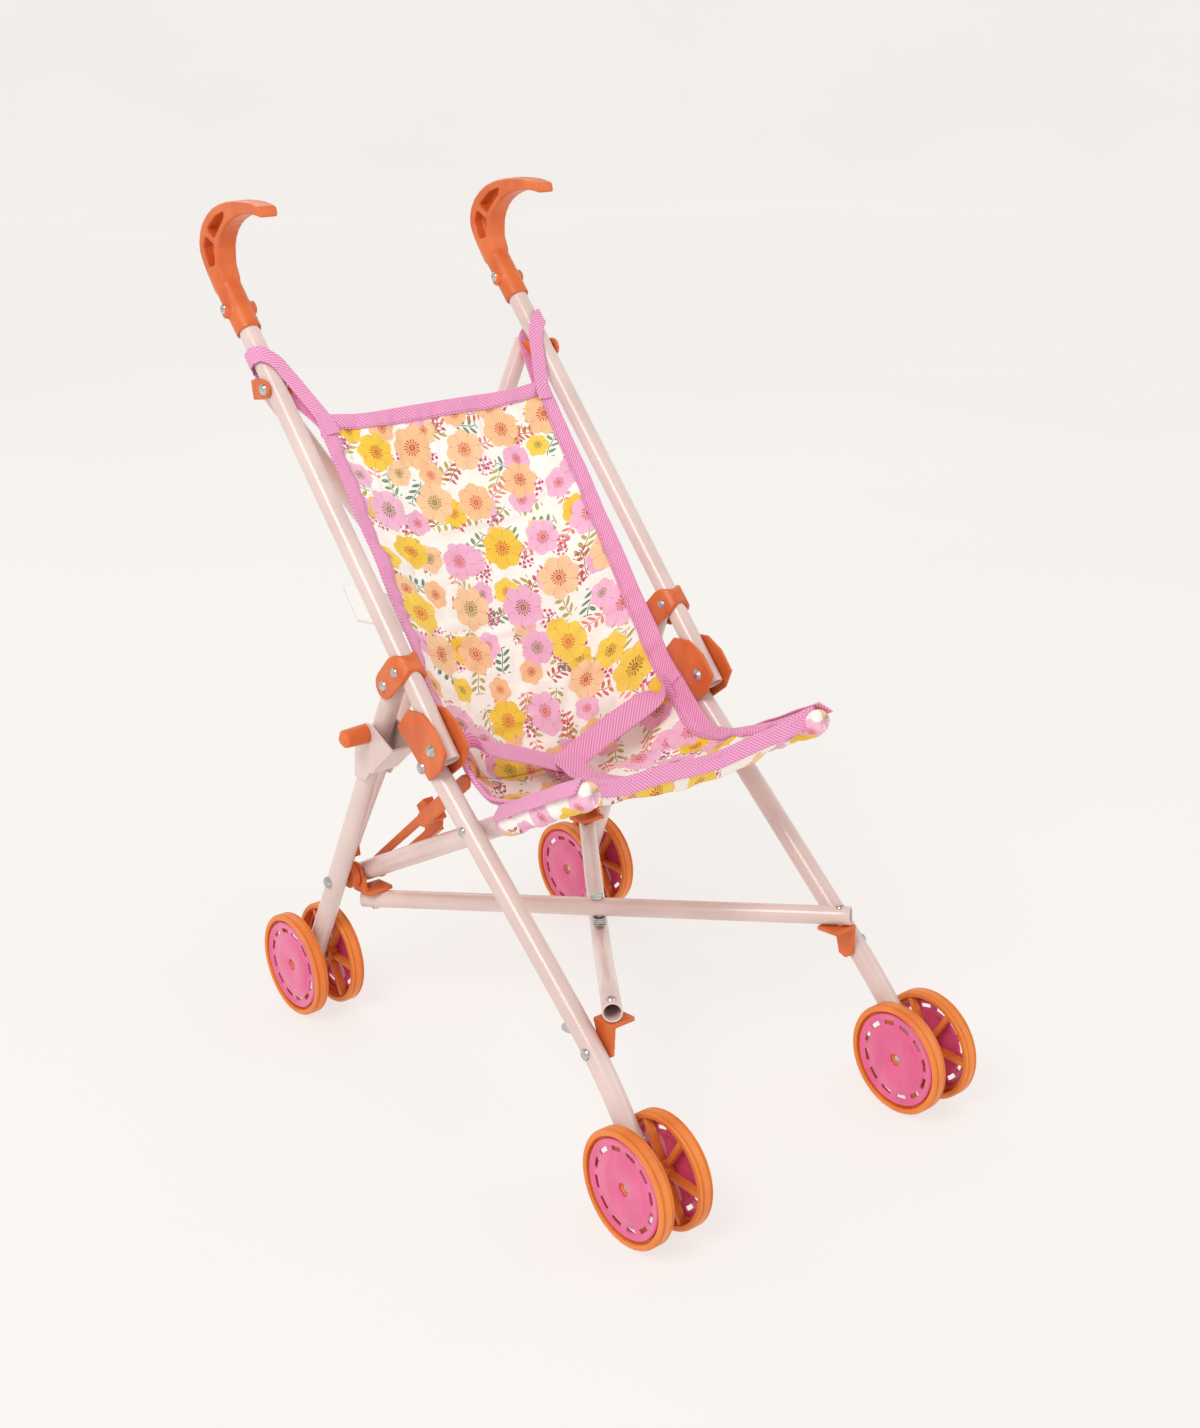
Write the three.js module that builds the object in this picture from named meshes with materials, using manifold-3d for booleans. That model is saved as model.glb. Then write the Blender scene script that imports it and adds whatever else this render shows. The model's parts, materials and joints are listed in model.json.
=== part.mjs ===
// Doll stroller: a folding two-stick pushchair with a sling seat and four pairs of wheels.
// Millimetres, +Z up, the doll faces -Y, X runs across. The pieces are drawn with y = 0 midway between
// the wheel axles, then moved so that the origin is on the floor under the middle of the overall box.
import * as THREE from 'three';
import { mergeVertices } from 'three/addons/utils/BufferGeometryUtils.js';
import ManifoldModule from 'manifold-3d';

const ORIGIN_SHIFT_Y = -33.65;

// Frame tubes
const TRACK_X = 110;
const TUBE_R = 7;
const TUBE_WALL = 1.1;
const CROSS_R = 6.25;
const CROSS_WALL = 1;
const TUBE_SIDES = 12;

// Pivot points in the side plane, as [y, z]
const ELBOW = [23, 244];
const FRONT_TOP = [35.6, 229.8];
const COLLAR_PUSH = [61.5, 285.8];
const COLLAR_REAR = [75, 272.4];
const CLIP = [205, 441];
const REAR_PIVOT = [147.5, 109];
const RAIL_CROSSING = [-6, 196];
const FRONT_PIVOT = [-126, 96];
const LATCH_PIVOT = [103.5, 208];

// Wheels
const WHEEL_R = 37;
const FRONT_WHEEL_Y = -180;
const REAR_WHEEL_Y = 178.5;
const FRONT_LEG_X = 113.8;
const REAR_LEG_X = 123.8;
const WHEEL_NEAR = 9.8;
const WHEEL_FAR = 19.6;
const AXLE_R = 2.5;
const AXLE_CLEARANCE = 0.3;
const WHEEL_SIDES = 16;
const DISC_R = 31.5;
const DISC_SLOTS = 12;
const DISC_T = 2;
const DISC_INSET = 0.8;

// Push tube and handle
const PUSH_TAIL = 9.6;
const SLEEVE_START = 312.5;
const SLEEVE_END = 362;
const SLEEVE_R = 8.9;
const PUSH_END = 352;
const GRIP_WIDTH = 14;
const POCKET_DEPTH = 8;

// Fittings
const GAP = 0.4;
const CHEEK = 2;
const PIN_R = 2.3;
const PIN_HOLE_R = 2.6;
const PIN_SIDES = 10;
const HEAD_R = 4.4;
const HEAD_H = 2.2;

// Rail, and the parts stacked on the rear pivot, as distances from the centre plane
const RAIL_X = 93.9;
const RAIL_TIP = [-98.6, 247.6];
const LUG_X = [105.4, 111.2];
const CORNER_X = [101.8, 104.8];
const STRUT_X = [78.4, 85.9];
const STRUT_TIP_X = [95.2, 97.4];
const STRUT_TIP = [20.5, 218];

// Lower cross pair: its pivots lie in one sloping plane between the two brackets
const LOWER_PIVOT_X = 94.9;
const LOWER_REAR = [138.5, 90.3];
const LOWER_FRONT = [-124, 119.7];
const LOWER_BOW = 21;
const BOLT_R = 2;
const BOLT_SPLIT = CROSS_R - LOWER_BOW;
const SPRING_R = 4.4;
const SPRING_WIRE = 0.7;
const SPRING_TURNS = 5;

// Rear cross pair
const REAR_TOP_X = 105;
const REAR_LOW_X = 98.8;
const REAR_TOP_OFFSET = 22.3;
const REAR_LOW_OFFSET = 14;
const REAR_LOW_RISE = 14;
const REAR_BOW = 6.8;
const LUG_PAD_GAP = 1.2;

// Lock latch on the right rear leg
const LATCH_X = 112.9;
const LATCH_HALF = 8.8;
const LATCH_SHEET = 1.5;
const KNOB = [93, 235.5];

// Seat
const FABRIC = 2;
const SEAT_COLUMNS = 12;
const BELT_T = 1.6;

const wasm = await ManifoldModule();
wasm.setup();
const { Manifold, Mesh: SolidMesh } = wasm;

const paint = new THREE.MeshStandardMaterial({ name: 'tube_paint', color: 0xe9d3ce, roughness: 0.35 });
const orange = new THREE.MeshStandardMaterial({ name: 'orange_plastic', color: 0xdd6a2a, roughness: 0.5 });
const pink = new THREE.MeshStandardMaterial({ name: 'disc_pink', color: 0xdb4f85, roughness: 0.25 });
const steel = new THREE.MeshStandardMaterial({ name: 'bright_steel', color: 0xc8c8c8, metalness: 1, roughness: 0.3 });
const print = new THREE.MeshStandardMaterial({ name: 'printed_fabric', color: 0xf4e6dc, roughness: 0.9 });
const webbing = new THREE.MeshStandardMaterial({ name: 'webbing', color: 0xdd86b8, roughness: 0.9 });

const part = new THREE.Group();
part.name = 'doll_stroller';

function add(name, geometry, material) {
  const flat = geometry.index ? geometry.toNonIndexed() : geometry;
  flat.translate(0, ORIGIN_SHIFT_Y, 0);
  flat.computeVertexNormals();
  const mesh = new THREE.Mesh(flat, material);
  mesh.name = name;
  part.add(mesh);
}

function toSolid(geometry) {
  const bare = geometry.clone();
  bare.deleteAttribute('normal');
  bare.deleteAttribute('uv');
  const merged = mergeVertices(bare, 1e-4);
  const faces = [];
  const index = merged.index.array;
  for (let i = 0; i < index.length; i += 3) {
    const [a, b, c] = [index[i], index[i + 1], index[i + 2]];
    if (a !== b && b !== c && a !== c) faces.push(a, b, c);
  }
  return new Manifold(new SolidMesh({
    numProp: 3,
    vertProperties: Float32Array.from(merged.attributes.position.array),
    triVerts: Uint32Array.from(faces),
  }));
}

function toGeometry(solid) {
  const mesh = solid.getMesh();
  const geometry = new THREE.BufferGeometry();
  geometry.setAttribute('position', new THREE.BufferAttribute(Float32Array.from(mesh.vertProperties), 3));
  geometry.setIndex(new THREE.BufferAttribute(Uint32Array.from(mesh.triVerts), 1));
  return geometry;
}

// Joins some geometries and cuts others out of them
function combine(joined, cut = []) {
  let solid = Manifold.union(joined.map(toSolid));
  if (cut.length > 0) solid = solid.subtract(Manifold.union(cut.map(toSolid)));
  return toGeometry(solid);
}

const at = (x, [y, z]) => new THREE.Vector3(x, y, z);
const sum = (a, b, k = 1) => [a[0] + k * b[0], a[1] + k * b[1]];
const unit = (a, b) => {
  const length = Math.hypot(b[0] - a[0], b[1] - a[1]);
  return [(b[0] - a[0]) / length, (b[1] - a[1]) / length];
};

const PUSH_DIR = [0.6797, 0.7335];
const PUSH_BACK = [0.7335, -0.6797];
const FRONT_DIR = unit(FRONT_TOP, FRONT_PIVOT);
const REAR_DIR = unit(COLLAR_REAR, [REAR_WHEEL_Y, WHEEL_R]);
const RAIL_DIR = unit(REAR_PIVOT, RAIL_TIP);
const LOWER_DIR = unit(LOWER_REAR, LOWER_FRONT);
const LOWER_UP = [LOWER_DIR[1], -LOWER_DIR[0]];
const BACK_DIR = unit(REAR_PIVOT, CLIP);
const BACK_OUT = [BACK_DIR[1], -BACK_DIR[0]];
const onPush = (t, back = 0) => sum(sum(ELBOW, PUSH_DIR, t), PUSH_BACK, back);

// A shape drawn in the side plane and given thickness across the stroller
function sideways(outline, x0, x1, holes = [], options = {}) {
  const shape = outline instanceof THREE.Shape ? outline : new THREE.Shape(outline.map((p) => new THREE.Vector2(...p)));
  for (const [centre, radius] of holes) {
    const hole = new THREE.Path();
    hole.absarc(centre[0], centre[1], radius, 0, 2 * Math.PI, true);
    shape.holes.push(hole);
  }
  const low = Math.min(x0, x1);
  const depth = Math.abs(x1 - x0);
  const geometry = new THREE.ExtrudeGeometry(shape, {
    depth, steps: 1, curveSegments: 6, bevelEnabled: false, ...options,
  });
  const basis = new THREE.Matrix4().makeBasis(
    new THREE.Vector3(0, 1, 0), new THREE.Vector3(0, 0, 1), new THREE.Vector3(1, 0, 0),
  );
  basis.setPosition(low, 0, 0);
  return geometry.applyMatrix4(basis);
}

// Rounded bar outline between two points of the side plane
function stadium(a, b, ra, rb = ra, steps = 6) {
  const angle = Math.atan2(b[1] - a[1], b[0] - a[0]);
  const points = [];
  for (let i = 0; i <= steps; i += 1) {
    const t = angle + Math.PI / 2 + (Math.PI * i) / steps;
    points.push([a[0] + ra * Math.cos(t), a[1] + ra * Math.sin(t)]);
  }
  for (let i = 0; i <= steps; i += 1) {
    const t = angle - Math.PI / 2 + (Math.PI * i) / steps;
    points.push([b[0] + rb * Math.cos(t), b[1] + rb * Math.sin(t)]);
  }
  return points;
}

function bar(a, b, radius, sides = TUBE_SIDES) {
  const axis = new THREE.Vector3().subVectors(b, a);
  const geometry = new THREE.CylinderGeometry(radius, radius, axis.length(), sides);
  const turn = new THREE.Quaternion().setFromUnitVectors(new THREE.Vector3(0, 1, 0), axis.clone().normalize());
  geometry.applyQuaternion(turn);
  geometry.translate(...new THREE.Vector3().addVectors(a, b).multiplyScalar(0.5).toArray());
  return geometry;
}

const across = (centre, radius, x0, x1, sides = PIN_SIDES) => bar(at(x0, centre), at(x1, centre), radius, sides);

// Hollow tube along a curve
function tube(curve, radius, wall, steps) {
  const ring = new THREE.Shape();
  ring.absarc(0, 0, radius, 0, 2 * Math.PI, false);
  const bore = new THREE.Path();
  bore.absarc(0, 0, radius - wall, 0, 2 * Math.PI, true);
  ring.holes.push(bore);
  return new THREE.ExtrudeGeometry(ring, { steps, extrudePath: curve, curveSegments: TUBE_SIDES / 2 });
}

// A block given by its centre, its in-plane directions and its full sizes
function block(centre, u, v, x0, x1, lu, lv) {
  const corners = [[-1, -1], [1, -1], [1, 1], [-1, 1]].map(([i, j]) => sum(sum(centre, u, (i * lu) / 2), v, (j * lv) / 2));
  const area = THREE.ShapeUtils.area(corners.map((p) => new THREE.Vector2(...p)));
  return sideways(area > 0 ? corners : corners.reverse(), x0, x1);
}

// Round pin across the stroller with a low head at each end
function pin(centre, x0, x1) {
  const low = Math.min(x0, x1);
  const high = Math.max(x0, x1);
  const profile = [
    [0, low - HEAD_H], [HEAD_R * 0.6, low - HEAD_H * 0.8], [HEAD_R, low], [PIN_R, low],
    [PIN_R, high], [HEAD_R, high], [HEAD_R * 0.6, high + HEAD_H * 0.8], [0, high + HEAD_H],
  ];
  return spun(profile, centre, PIN_SIDES);
}

// Profile of [radius, x] pairs turned about an axis across the stroller
function spun(profile, centre, sides) {
  const geometry = new THREE.LatheGeometry(profile.map((p) => new THREE.Vector2(...p)), sides);
  geometry.rotateZ(-Math.PI / 2);
  geometry.translate(0, centre[0], centre[1]);
  return geometry;
}

function handle(side) {
  const x = side * TRACK_X;
  const outline = new THREE.Shape();
  outline.moveTo(...onPush(SLEEVE_END - 14, SLEEVE_R - 1));
  outline.splineThru([[279, 511], [284.5, 524], [279, 539], [262, 551.5], [238, 557.5], [214, 558.5], [201, 556.5]]
    .map((p) => new THREE.Vector2(...p)));
  outline.lineTo(199.5, 550);
  outline.splineThru([[214, 551], [232, 548], [248, 540], [257, 528], [258, 514]].map((p) => new THREE.Vector2(...p)));
  outline.lineTo(...onPush(SLEEVE_END - 14, 1 - SLEEVE_R));
  const bevel = 1.5;
  const low = x - GRIP_WIDTH / 2;
  const grip = sideways(outline, low + bevel, low + GRIP_WIDTH - bevel, [], {
    curveSegments: 2, bevelEnabled: true, bevelSize: 0.8, bevelThickness: bevel, bevelSegments: 1, bevelOffset: -0.8,
  });
  const sleeve = bar(at(x, onPush(SLEEVE_START)), at(x, onPush(SLEEVE_END)), SLEEVE_R, 16);
  const boss = across(onPush(330), 4.8, x - 11.5, x + 11.5);
  const bore = bar(at(x, onPush(SLEEVE_START - 1)), at(x, onPush(PUSH_END + 1)), TUBE_R + 0.3, 16);
  const pockets = [
    [[264, 514], [273, 512], [278.5, 524], [275, 532], [263, 527]],
    [[262.5, 531.5], [272, 536.5], [260, 546], [247, 550.5], [247.5, 546]],
  ].map((points) => sideways(points, low - 1, low + POCKET_DEPTH));
  return combine([grip, sleeve, boss], [bore, ...pockets]);
}

function collar(side) {
  const x = side * TRACK_X;
  const inner = TUBE_R + 0.9;
  const outer = inner + CHEEK;
  const along = (t, back) => sum(sum(COLLAR_PUSH, PUSH_DIR, t), PUSH_BACK, back);
  const body = sideways(stadium(COLLAR_PUSH, COLLAR_REAR, 9.8, 9.2), x - outer, x + outer);
  const round = bar(at(x, along(-20, 0)), at(x, along(20, 0)), outer, 20);
  const rear = block(along(0, 20), PUSH_DIR, PUSH_BACK, x - outer, x + outer, 40, 40);
  const bore = bar(at(x, along(-21, 0)), at(x, along(21, 0)), TUBE_R + 0.35, 20);
  const slot = block(along(0, 20), PUSH_DIR, PUSH_BACK, x - inner, x + inner, 42, 38);
  const shell = Manifold.union([toSolid(round), toSolid(rear)]).intersect(toSolid(body));
  return toGeometry(shell.subtract(Manifold.union([toSolid(bore), toSolid(slot)])));
}

// Clevis on the push tube whose rear web carries a rear cross tube
function clip(side) {
  const x = side * TRACK_X;
  const inner = TUBE_R + GAP;
  const outer = inner + CHEEK;
  const web = sum(CLIP, BACK_OUT, 14.2);
  const outline = stadium(CLIP, sum(CLIP, BACK_OUT, 9.3), 6.5, 6.5);
  const cheeks = [[-outer, -inner], [inner, outer]].map(([a, b]) => combine([
    sideways(outline, x + a, x + b), block(sum(CLIP, BACK_OUT, 7.7), BACK_OUT, BACK_DIR, x + a, x + b, 15.4, 13),
  ]));
  return combine([...cheeks, block(web, BACK_OUT, BACK_DIR, x - outer, x + outer, 2.4, 13)],
    [across(CLIP, PIN_HOLE_R, x - 20, x + 20)]);
}

function elbow(side) {
  const x = side * TRACK_X;
  const inner = TUBE_R + GAP;
  const outer = inner + 2.2;
  const outline = [[48.9, 264], [33, 266], [19, 259.5], [8, 247], [13.5, 233.5], [27, 222.5], [61.3, 248.8]];
  const edge = unit([61.3, 248.8], [48.9, 264]);
  const inward = [-edge[1], edge[0]];
  const web = block(sum(sum([61.3, 248.8], edge, 7), inward, 1.1), edge, inward, x - outer, x + outer, 14, 2.2);
  const plates = [[-outer, -inner], [inner, outer]].map(([a, b]) => sideways(outline, x + a, x + b));
  return combine([...plates, web], [across(ELBOW, PIN_HOLE_R, x - 20, x + 20)]);
}

function frontLeg(side) {
  const x = side * TRACK_X;
  const points = [
    at(x, sum(FRONT_TOP, FRONT_DIR, -8)), at(x, [-128, 94.3]), at(x + side * 0.6, [-140, 83]),
    at(side * (FRONT_LEG_X - 0.4), [-176, 43.3]), at(side * FRONT_LEG_X, [FRONT_WHEEL_Y - 2, WHEEL_R - 2.4]),
  ];
  const path = new THREE.CurvePath();
  path.add(new THREE.LineCurve3(points[0], points[1]));
  path.add(new THREE.QuadraticBezierCurve3(points[1], at(x, [-136, 87.6]), points[2]));
  path.add(new THREE.LineCurve3(points[2], points[3]));
  path.add(new THREE.LineCurve3(points[3], points[4]));
  const hub = [FRONT_WHEEL_Y, WHEEL_R];
  return combine([tube(path, TUBE_R, TUBE_WALL, 10)], [across(hub, AXLE_R + GAP, x - 20, x + 20)]);
}

function rearLegPoint(side, distance) {
  const length = Math.hypot(REAR_WHEEL_Y - COLLAR_REAR[0], WHEEL_R - COLLAR_REAR[1]);
  const x = side * (TRACK_X + ((REAR_LEG_X - TRACK_X) * distance) / length);
  return at(x, sum(COLLAR_REAR, REAR_DIR, distance));
}

function rearLeg(side) {
  const length = Math.hypot(REAR_WHEEL_Y - COLLAR_REAR[0], WHEEL_R - COLLAR_REAR[1]);
  const path = new THREE.LineCurve3(rearLegPoint(side, -6.5), rearLegPoint(side, length + 5));
  const hub = [REAR_WHEEL_Y, WHEEL_R];
  const x = side * REAR_LEG_X;
  return combine([tube(path, TUBE_R, TUBE_WALL, 1)],
    [across(hub, AXLE_R + GAP, x - 20, x + 20), across(REAR_PIVOT, PIN_HOLE_R, x - 20, x + 20)]);
}

function pushTube(side) {
  const x = side * TRACK_X;
  const path = new THREE.LineCurve3(at(x, onPush(-PUSH_TAIL)), at(x, onPush(PUSH_END)));
  return combine([tube(path, TUBE_R, TUBE_WALL, 1)],
    [across(ELBOW, PIN_HOLE_R, x - 20, x + 20), across(CLIP, PIN_HOLE_R, x - 20, x + 20)]);
}

function rail(side) {
  const x = side * RAIL_X;
  const path = new THREE.LineCurve3(at(x, sum(REAR_PIVOT, RAIL_DIR, -8)), at(x, sum(RAIL_TIP, RAIL_DIR, 5)));
  const spacer = across(RAIL_CROSSING, 5.5, side * (RAIL_X + TUBE_R - 0.6), side * (TRACK_X - TUBE_R - GAP));
  const hollow = across(RAIL_CROSSING, PIN_HOLE_R, side * (RAIL_X - TUBE_R - 1), side * TRACK_X);
  return combine([tube(path, TUBE_R, TUBE_WALL, 1), spacer],
    [across(REAR_PIVOT, PIN_HOLE_R, x - 20, x + 20), hollow]);
}

// Bracket on the rear pivot with a tongue over the lower cross tube's rear end
function cornerBracket(side) {
  const [x0, x1] = CORNER_X.map((v) => side * v);
  const top = sum(LOWER_REAR, LOWER_UP, CROSS_R + GAP + 1.5);
  const eye = across(REAR_PIVOT, 8.5, x0, x1, 16);
  const neck = block(sum(sum(LOWER_REAR, LOWER_UP, 13), LOWER_DIR, -3.5), LOWER_DIR, LOWER_UP, x0, x1, 15, 12.6);
  const tongue = block(top, LOWER_DIR, LOWER_UP, x1, side * (LOWER_PIVOT_X - 10), 18, 3);
  return combine([eye, neck, tongue], [across(REAR_PIVOT, PIN_HOLE_R, x0 - 20, x0 + 20)]);
}

// Bracket on the front leg with a tongue under the lower cross tube's front end
function frontBracket(side) {
  const x0 = side * (TRACK_X - TUBE_R - GAP);
  const x1 = x0 - side * 2.8;
  const under = sum(LOWER_FRONT, LOWER_UP, -CROSS_R - GAP - 1.5);
  const left = sum(sum(under, LOWER_DIR, -9), LOWER_UP, 1.5);
  const right = sum(sum(under, LOWER_DIR, 9), LOWER_UP, 1.5);
  const outline = [left, right, sum(right, LOWER_UP, -4), [-133, 92], [-128, 88.5], [-122, 90]];
  const area = THREE.ShapeUtils.area(outline.map((p) => new THREE.Vector2(...p)));
  const plate = sideways(area > 0 ? outline : outline.reverse(), x0, x1);
  const tongue = block(under, LOWER_DIR, LOWER_UP, x0, side * (LOWER_PIVOT_X - 10), 18, 3);
  return combine([plate, tongue]);
}

function lug(side) {
  const [x0, x1] = LUG_X.map((v) => side * v);
  const place = (rise, out) => sum(sum(REAR_PIVOT, BACK_DIR, rise), BACK_OUT, out);
  const under = REAR_LOW_OFFSET - CROSS_R - LUG_PAD_GAP - 1.5;
  const eye = across(REAR_PIVOT, 8.8, x0, x1, 16);
  const neck = block(place(9, 3.2), BACK_DIR, BACK_OUT, x0, x1, 16, 8);
  const pad = block(place(REAR_LOW_RISE, under), BACK_DIR, BACK_OUT, side * (REAR_LOW_X - 3), x1, 7, 3);
  return combine([eye, neck, pad], [across(REAR_PIVOT, PIN_HOLE_R, x0 - 30, x0 + 30)]);
}

function rearPairPoint(x, rise, offset) {
  return at(x, sum(sum(REAR_PIVOT, BACK_DIR, rise), BACK_OUT, offset));
}

const CLIP_RISE = Math.hypot(CLIP[0] - REAR_PIVOT[0], CLIP[1] - REAR_PIVOT[1]);

// Rear cross tube from one side's clip to the other side's lug, bowed clear of its partner
function rearCross(side) {
  const top = rearPairPoint(side * REAR_TOP_X, CLIP_RISE, REAR_TOP_OFFSET);
  const low = rearPairPoint(-side * REAR_LOW_X, REAR_LOW_RISE, REAR_LOW_OFFSET);
  return bowed(top, low, BACK_OUT, -side * REAR_BOW, 8);
}

// Tube between two pivots whose middle stands off by the bow, with flat ends past each pivot
function bowed(a, b, normal, bow, overrun) {
  const axis = new THREE.Vector3().subVectors(b, a);
  const length = axis.length();
  axis.normalize();
  const off = new THREE.Vector3(0, normal[0], normal[1]).multiplyScalar(bow);
  const point = (t, k) => a.clone().addScaledVector(axis, t).addScaledVector(off, k);
  const ends = [point(-overrun, 0), point(0, 0), point(16, 0)];
  const far = [point(length - 16, 0), point(length, 0), point(length + overrun, 0)];
  if (Math.abs(bow) < 0.01) return tube(new THREE.LineCurve3(ends[0], far[2]), CROSS_R, CROSS_WALL, 1);
  const path = new THREE.CatmullRomCurve3(
    [...ends, point(length * 0.3, 0.76), point(length * 0.5, 1), point(length * 0.7, 0.76), ...far],
    false, 'centripetal',
  );
  return tube(path, CROSS_R, CROSS_WALL, Math.abs(bow) > 10 ? 16 : 10);
}

function lowerCross(side) {
  const rear = at(side * LOWER_PIVOT_X, LOWER_REAR);
  const front = at(-side * LOWER_PIVOT_X, LOWER_FRONT);
  return bowed(rear, front, LOWER_UP, side < 0 ? 0 : -LOWER_BOW, 9);
}

const LOWER_MID = sum(LOWER_REAR, sum(LOWER_FRONT, LOWER_REAR, -1), 0.5);

function spring() {
  const wire = SPRING_WIRE;
  const low = CROSS_R - LOWER_BOW + wire + 0.5;
  const high = -CROSS_R - wire - 0.5;
  class Coil extends THREE.Curve {
    getPoint(t) {
      const turn = 2 * Math.PI * SPRING_TURNS * t;
      const p = sum(LOWER_MID, LOWER_UP, low + (high - low) * t);
      const along = SPRING_R * Math.sin(turn);
      return new THREE.Vector3(SPRING_R * Math.cos(turn), p[0] + LOWER_DIR[0] * along, p[1] + LOWER_DIR[1] * along);
    }
  }
  const section = new THREE.Shape();
  section.absarc(0, 0, wire, 0, 2 * Math.PI, false);
  return new THREE.ExtrudeGeometry(section, { steps: 40, extrudePath: new Coil(), curveSegments: 2 });
}

const onBolt = (k) => at(0, sum(LOWER_MID, LOWER_UP, k));

// Bolt head and shank through the upper cross tube and the spring
function crossBolt() {
  const top = CROSS_R + 0.3;
  const shank = bar(onBolt(BOLT_SPLIT + 0.3), onBolt(top + 1), BOLT_R, 10);
  return combine([shank, bar(onBolt(top), onBolt(top + 2.2), 4.2, 12)]);
}

// Nut and threaded end through the lower cross tube
function crossNut() {
  const under = -LOWER_BOW - CROSS_R;
  const thread = bar(onBolt(under - 4), onBolt(BOLT_SPLIT), BOLT_R, 10);
  return combine([thread, bar(onBolt(under - 3.4), onBolt(under - 0.4), 3.8, 6)]);
}

function boltHole(low, high) {
  return bar(onBolt(low), onBolt(high), BOLT_R + GAP, 10);
}

function wheel(centre, face) {
  const [y, z] = centre;
  const dir = Math.sign(face);
  const low = Math.abs(face) - WHEEL_FAR + WHEEL_NEAR;
  const x = (t) => dir * (low + t);
  const width = WHEEL_FAR - WHEEL_NEAR;
  const ring = [[WHEEL_R - 4, 0], [WHEEL_R - 1, 0], [WHEEL_R, 1.4]];
  for (let i = 0; i < 3; i += 1) ring.push([WHEEL_R - 0.7, 2.3 + 2.3 * i], [WHEEL_R, 3.1 + 2.3 * i]);
  ring.push([WHEEL_R - 1, width], [WHEEL_R - 4, width]);
  const closed = [...ring, ring[0]].map(([r, t]) => [r, x(t)]);
  const rim = spun(dir > 0 ? closed : closed.reverse(), [y, z], WHEEL_SIDES);
  const hub = across([y, z], 6, x(0), x(6.6));
  const bars = [];
  for (let i = 0; i < 6; i += 1) {
    const angle = (Math.PI * i) / 3;
    const u = [Math.cos(angle), Math.sin(angle)];
    const v = [-u[1], u[0]];
    bars.push(block(sum([y, z], u, 18.5), u, v, x(1), x(6), 31, 3.4));
  }
  return combine([rim, hub, ...bars], [across([y, z], AXLE_R + AXLE_CLEARANCE, x(-1), x(12))]);
}

// Slotted cover on the outward face of a wheel
function disc(centre, face) {
  const dir = Math.sign(face);
  const low = Math.abs(face) - DISC_INSET - DISC_T;
  const shape = new THREE.Shape();
  shape.absarc(centre[0], centre[1], DISC_R, 0, 2 * Math.PI, false);
  for (let i = 0; i < DISC_SLOTS; i += 1) {
    const angle = (2 * Math.PI * (i + 0.5)) / DISC_SLOTS;
    const u = [Math.cos(angle), Math.sin(angle)];
    const v = [-u[1], u[0]];
    const middle = sum(centre, u, DISC_R - 6);
    const corners = [[-1.5, -2.5], [-1.5, 2.5], [1.5, 2.5], [1.5, -2.5]];
    shape.holes.push(new THREE.Path(corners.map(([r, t]) => new THREE.Vector2(...sum(sum(middle, u, r), v, t)))));
  }
  return sideways(shape, dir * low, dir * (low + DISC_T), [], { curveSegments: WHEEL_SIDES / 2 });
}

function axle(centre, x) {
  const reach = WHEEL_NEAR + 6.4;
  return across(centre, AXLE_R, x - reach, x + reach);
}

function strut() {
  const [inner, outer] = STRUT_X.map((v) => -v);
  const [tipInner, tipOuter] = STRUT_TIP_X.map((v) => -v);
  const u = unit(REAR_PIVOT, STRUT_TIP);
  const v = [u[1], -u[0]];
  const on = (t, k = 0) => sum(sum(REAR_PIVOT, u, t), v, k);
  const lower = sideways(fair([...stadium(REAR_PIVOT, on(96), 8, 9)]), outer, outer + 2.4);
  const ribs = [-7, 7].map((k) => block(on(52, k), u, v, outer, inner, 78, 2.4));
  const jog = block(on(104), u, v, tipOuter, outer + 2.4, 10, 10);
  const upper = sideways(fair(stadium(on(100), STRUT_TIP, 5, 5)), tipOuter, tipInner);
  const tab = block(on(88, 11.5), u, v, outer, inner, 12, 7);
  const slot = sideways(fair(stadium(on(20), on(78), 2.6)), outer - 1, outer + 4);
  return combine([lower, ...ribs, jog, upper, tab], [slot, across(REAR_PIVOT, PIN_HOLE_R, -120, -70)]);
}

function fair(outline) {
  const area = THREE.ShapeUtils.area(outline.map((p) => new THREE.Vector2(...p)));
  return area > 0 ? outline : [...outline].reverse();
}

function latch() {
  const inner = LATCH_HALF;
  const outer = inner + LATCH_SHEET;
  const foot = [90.5, 209];
  const tip = [63.5, 233];
  const outline = fair([[108, 224.5], [95, 242.5], [88, 243.5], tip, foot, [97, 201], [110, 200]]);
  const flanges = [[-outer, -inner], [inner, outer]].map(([a, b]) => sideways(outline, a - LATCH_X, b - LATCH_X));
  const edge = unit(foot, tip);
  const inward = [-edge[1], edge[0]];
  const length = Math.hypot(tip[0] - foot[0], tip[1] - foot[1]);
  const web = block(sum(sum(foot, edge, length / 2), inward, LATCH_SHEET / 2), edge, inward, -outer - LATCH_X,
    outer - LATCH_X, length, LATCH_SHEET);
  return combine([...flanges, web], [across(KNOB, 2.2, -LATCH_X - 20, -LATCH_X)]);
}

function latchKnob() {
  const face = -LATCH_X - LATCH_HALF - LATCH_SHEET - 0.3;
  const profile = [[0, face - 19], [3, face - 18.6], [4.4, face - 16.8], [6, face - 16.4], [6.6, face], [0, face]];
  const body = spun(profile, KNOB, 16);
  const shank = across(KNOB, 1.8, face - 4, face + 4);
  return combine([body, shank]);
}

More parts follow.
